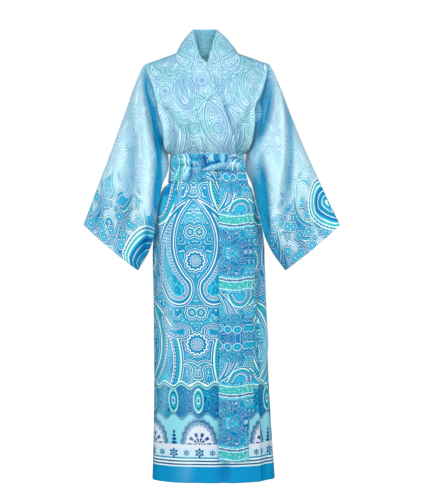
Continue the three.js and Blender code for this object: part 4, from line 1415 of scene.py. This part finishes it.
across, share = np.meshgrid(np.linspace(0, 1, KNOT_COLUMNS + 1), np.linspace(0, 1, KNOT_ROWS + 1))
arch = np.sqrt(4 * share * (1 - share))
swell = KNOT_SWELL * arch * np.sqrt(4 * across * (1 - across))
down = mix(KNOT_TOP + KNOT_LEFT_DIP * (1 - across) ** 2, KNOT_BOTTOM, share)
knot_points = body_point(angle_at(mix(KNOT_LEFT, KNOT_RIGHT, across), down), down, KNOT_REST + swell)
over_ends = tail_point(knot_points[..., 0], down, KNOT_OVER_ENDS + swell)
over_ends[..., 2] = knot_points[..., 2]
meeting = smooth(*KNOT_MEETS_ENDS, knot_points[..., 0]) * smooth(KNOT_TOP, KNOT_MEETS_BY, down)
knot_points = mix(knot_points, over_ends, meeting[..., None])
knot_points, knot_painted_shade = moved_out(knot_points, KNOT_CREASES)
knot_print = np.stack([lengths_along(knot_points, 0), lengths_along(knot_points, 1)], axis=-1)
knot = cloth("sash_knot", knot_points, knot_print, 0 * across, thickness=SASH_THICKNESS,
             painted_shade=knot_painted_shade)
knot.data.materials.append(sash_outside)
knot.data.materials.append(sash_outside)

# The studio
# A plain pale floor under the hem, soft white light all round, and a camera at hip height in front. Sizes
# here are in metres.
FLOOR_HEIGHT = -1.47
FLOOR_HALF = 6
FLOOR_COLOUR = "#303030"
AMBIENT = 0.3
AMBIENT_COLOUR = "#86D0EA"
LIT_POINT = (0, 0, -0.6)

# Place, size in metres and power in watts of each soft box. The last two light the back.
SOFT_BOXES = (
    ((-0.5, -3.5, 0.2), 0.9, 53),
    ((-0.2, -1.4, 2.6), 1.2, 18),
    ((0.7, -3.5, -0.4), 0.9, 30),
    ((-2.6, -1.9, 0.1), 1.0, 42),
    ((2.6, -1.9, 0), 1.0, 40),
    ((-0.9, 3.3, 0.3), 1.0, 60),
    ((1.6, 3.0, -0.3), 1.0, 40),
)
SENSOR = 36
CAMERA_DISTANCE = 3.5
PIXEL = 0.00314
FRAME_HEIGHT = 500
VIEW_CENTRE = (0.050, -0.615)

floor_mesh = bmesh.new()
bmesh.ops.create_grid(floor_mesh, x_segments=1, y_segments=1, size=FLOOR_HALF)
bmesh.ops.translate(floor_mesh, vec=(0, 0, FLOOR_HEIGHT), verts=floor_mesh.verts)
floor_data = bpy.data.meshes.new("floor")
floor_mesh.to_mesh(floor_data)
floor_mesh.free()
floor = bpy.data.objects.new("floor", floor_data)
bpy.context.collection.objects.link(floor)
pale_floor, tree = new_material("pale floor")
shader = tree.nodes["Principled BSDF"]
shader.inputs["Base Color"].default_value = linear(FLOOR_COLOUR)
# It glows white for the camera and sends no light to the robe
shader.inputs["Emission Color"].default_value = (1, 1, 1, 1)
tree.links.new(add(tree, "LightPath"), shader.inputs["Emission Strength"])
floor.data.materials.append(pale_floor)

scene = bpy.context.scene
scene.view_settings.view_transform = "Standard"
world = bpy.data.worlds.new("white studio")
world.use_nodes = True
tree = world.node_tree
background = tree.nodes["Background"]
seen = add(tree, "LightPath")
sky = over(tree, seen, linear(AMBIENT_COLOUR), (1, 1, 1, 1))
strength = add(tree, "Math", seen, 1 - AMBIENT, AMBIENT, operation="MULTIPLY_ADD")
tree.links.new(sky, background.inputs["Color"])
tree.links.new(strength, background.inputs["Strength"])
scene.world = world

for place, size, power in SOFT_BOXES:
    lamp = bpy.data.lights.new("soft box", "AREA")
    lamp.size = size
    lamp.energy = power
    box = bpy.data.objects.new("soft box", lamp)
    bpy.context.collection.objects.link(box)
    box.location = place
    aim = np.array(LIT_POINT) - np.array(place)
    tilt = math.atan2(math.hypot(aim[0], aim[1]), -aim[2])
    box.rotation_euler = (tilt, 0, math.atan2(aim[1], aim[0]) - math.pi / 2)

lens = bpy.data.cameras.new("studio camera")
lens.sensor_fit = "VERTICAL"
lens.sensor_height = SENSOR
lens.lens = SENSOR * CAMERA_DISTANCE / (FRAME_HEIGHT * PIXEL)
camera = bpy.data.objects.new("studio camera", lens)
bpy.context.collection.objects.link(camera)
camera.location = (VIEW_CENTRE[0], -CAMERA_DISTANCE, VIEW_CENTRE[1])
camera.rotation_euler = (math.pi / 2, 0, 0)
scene.camera = camera
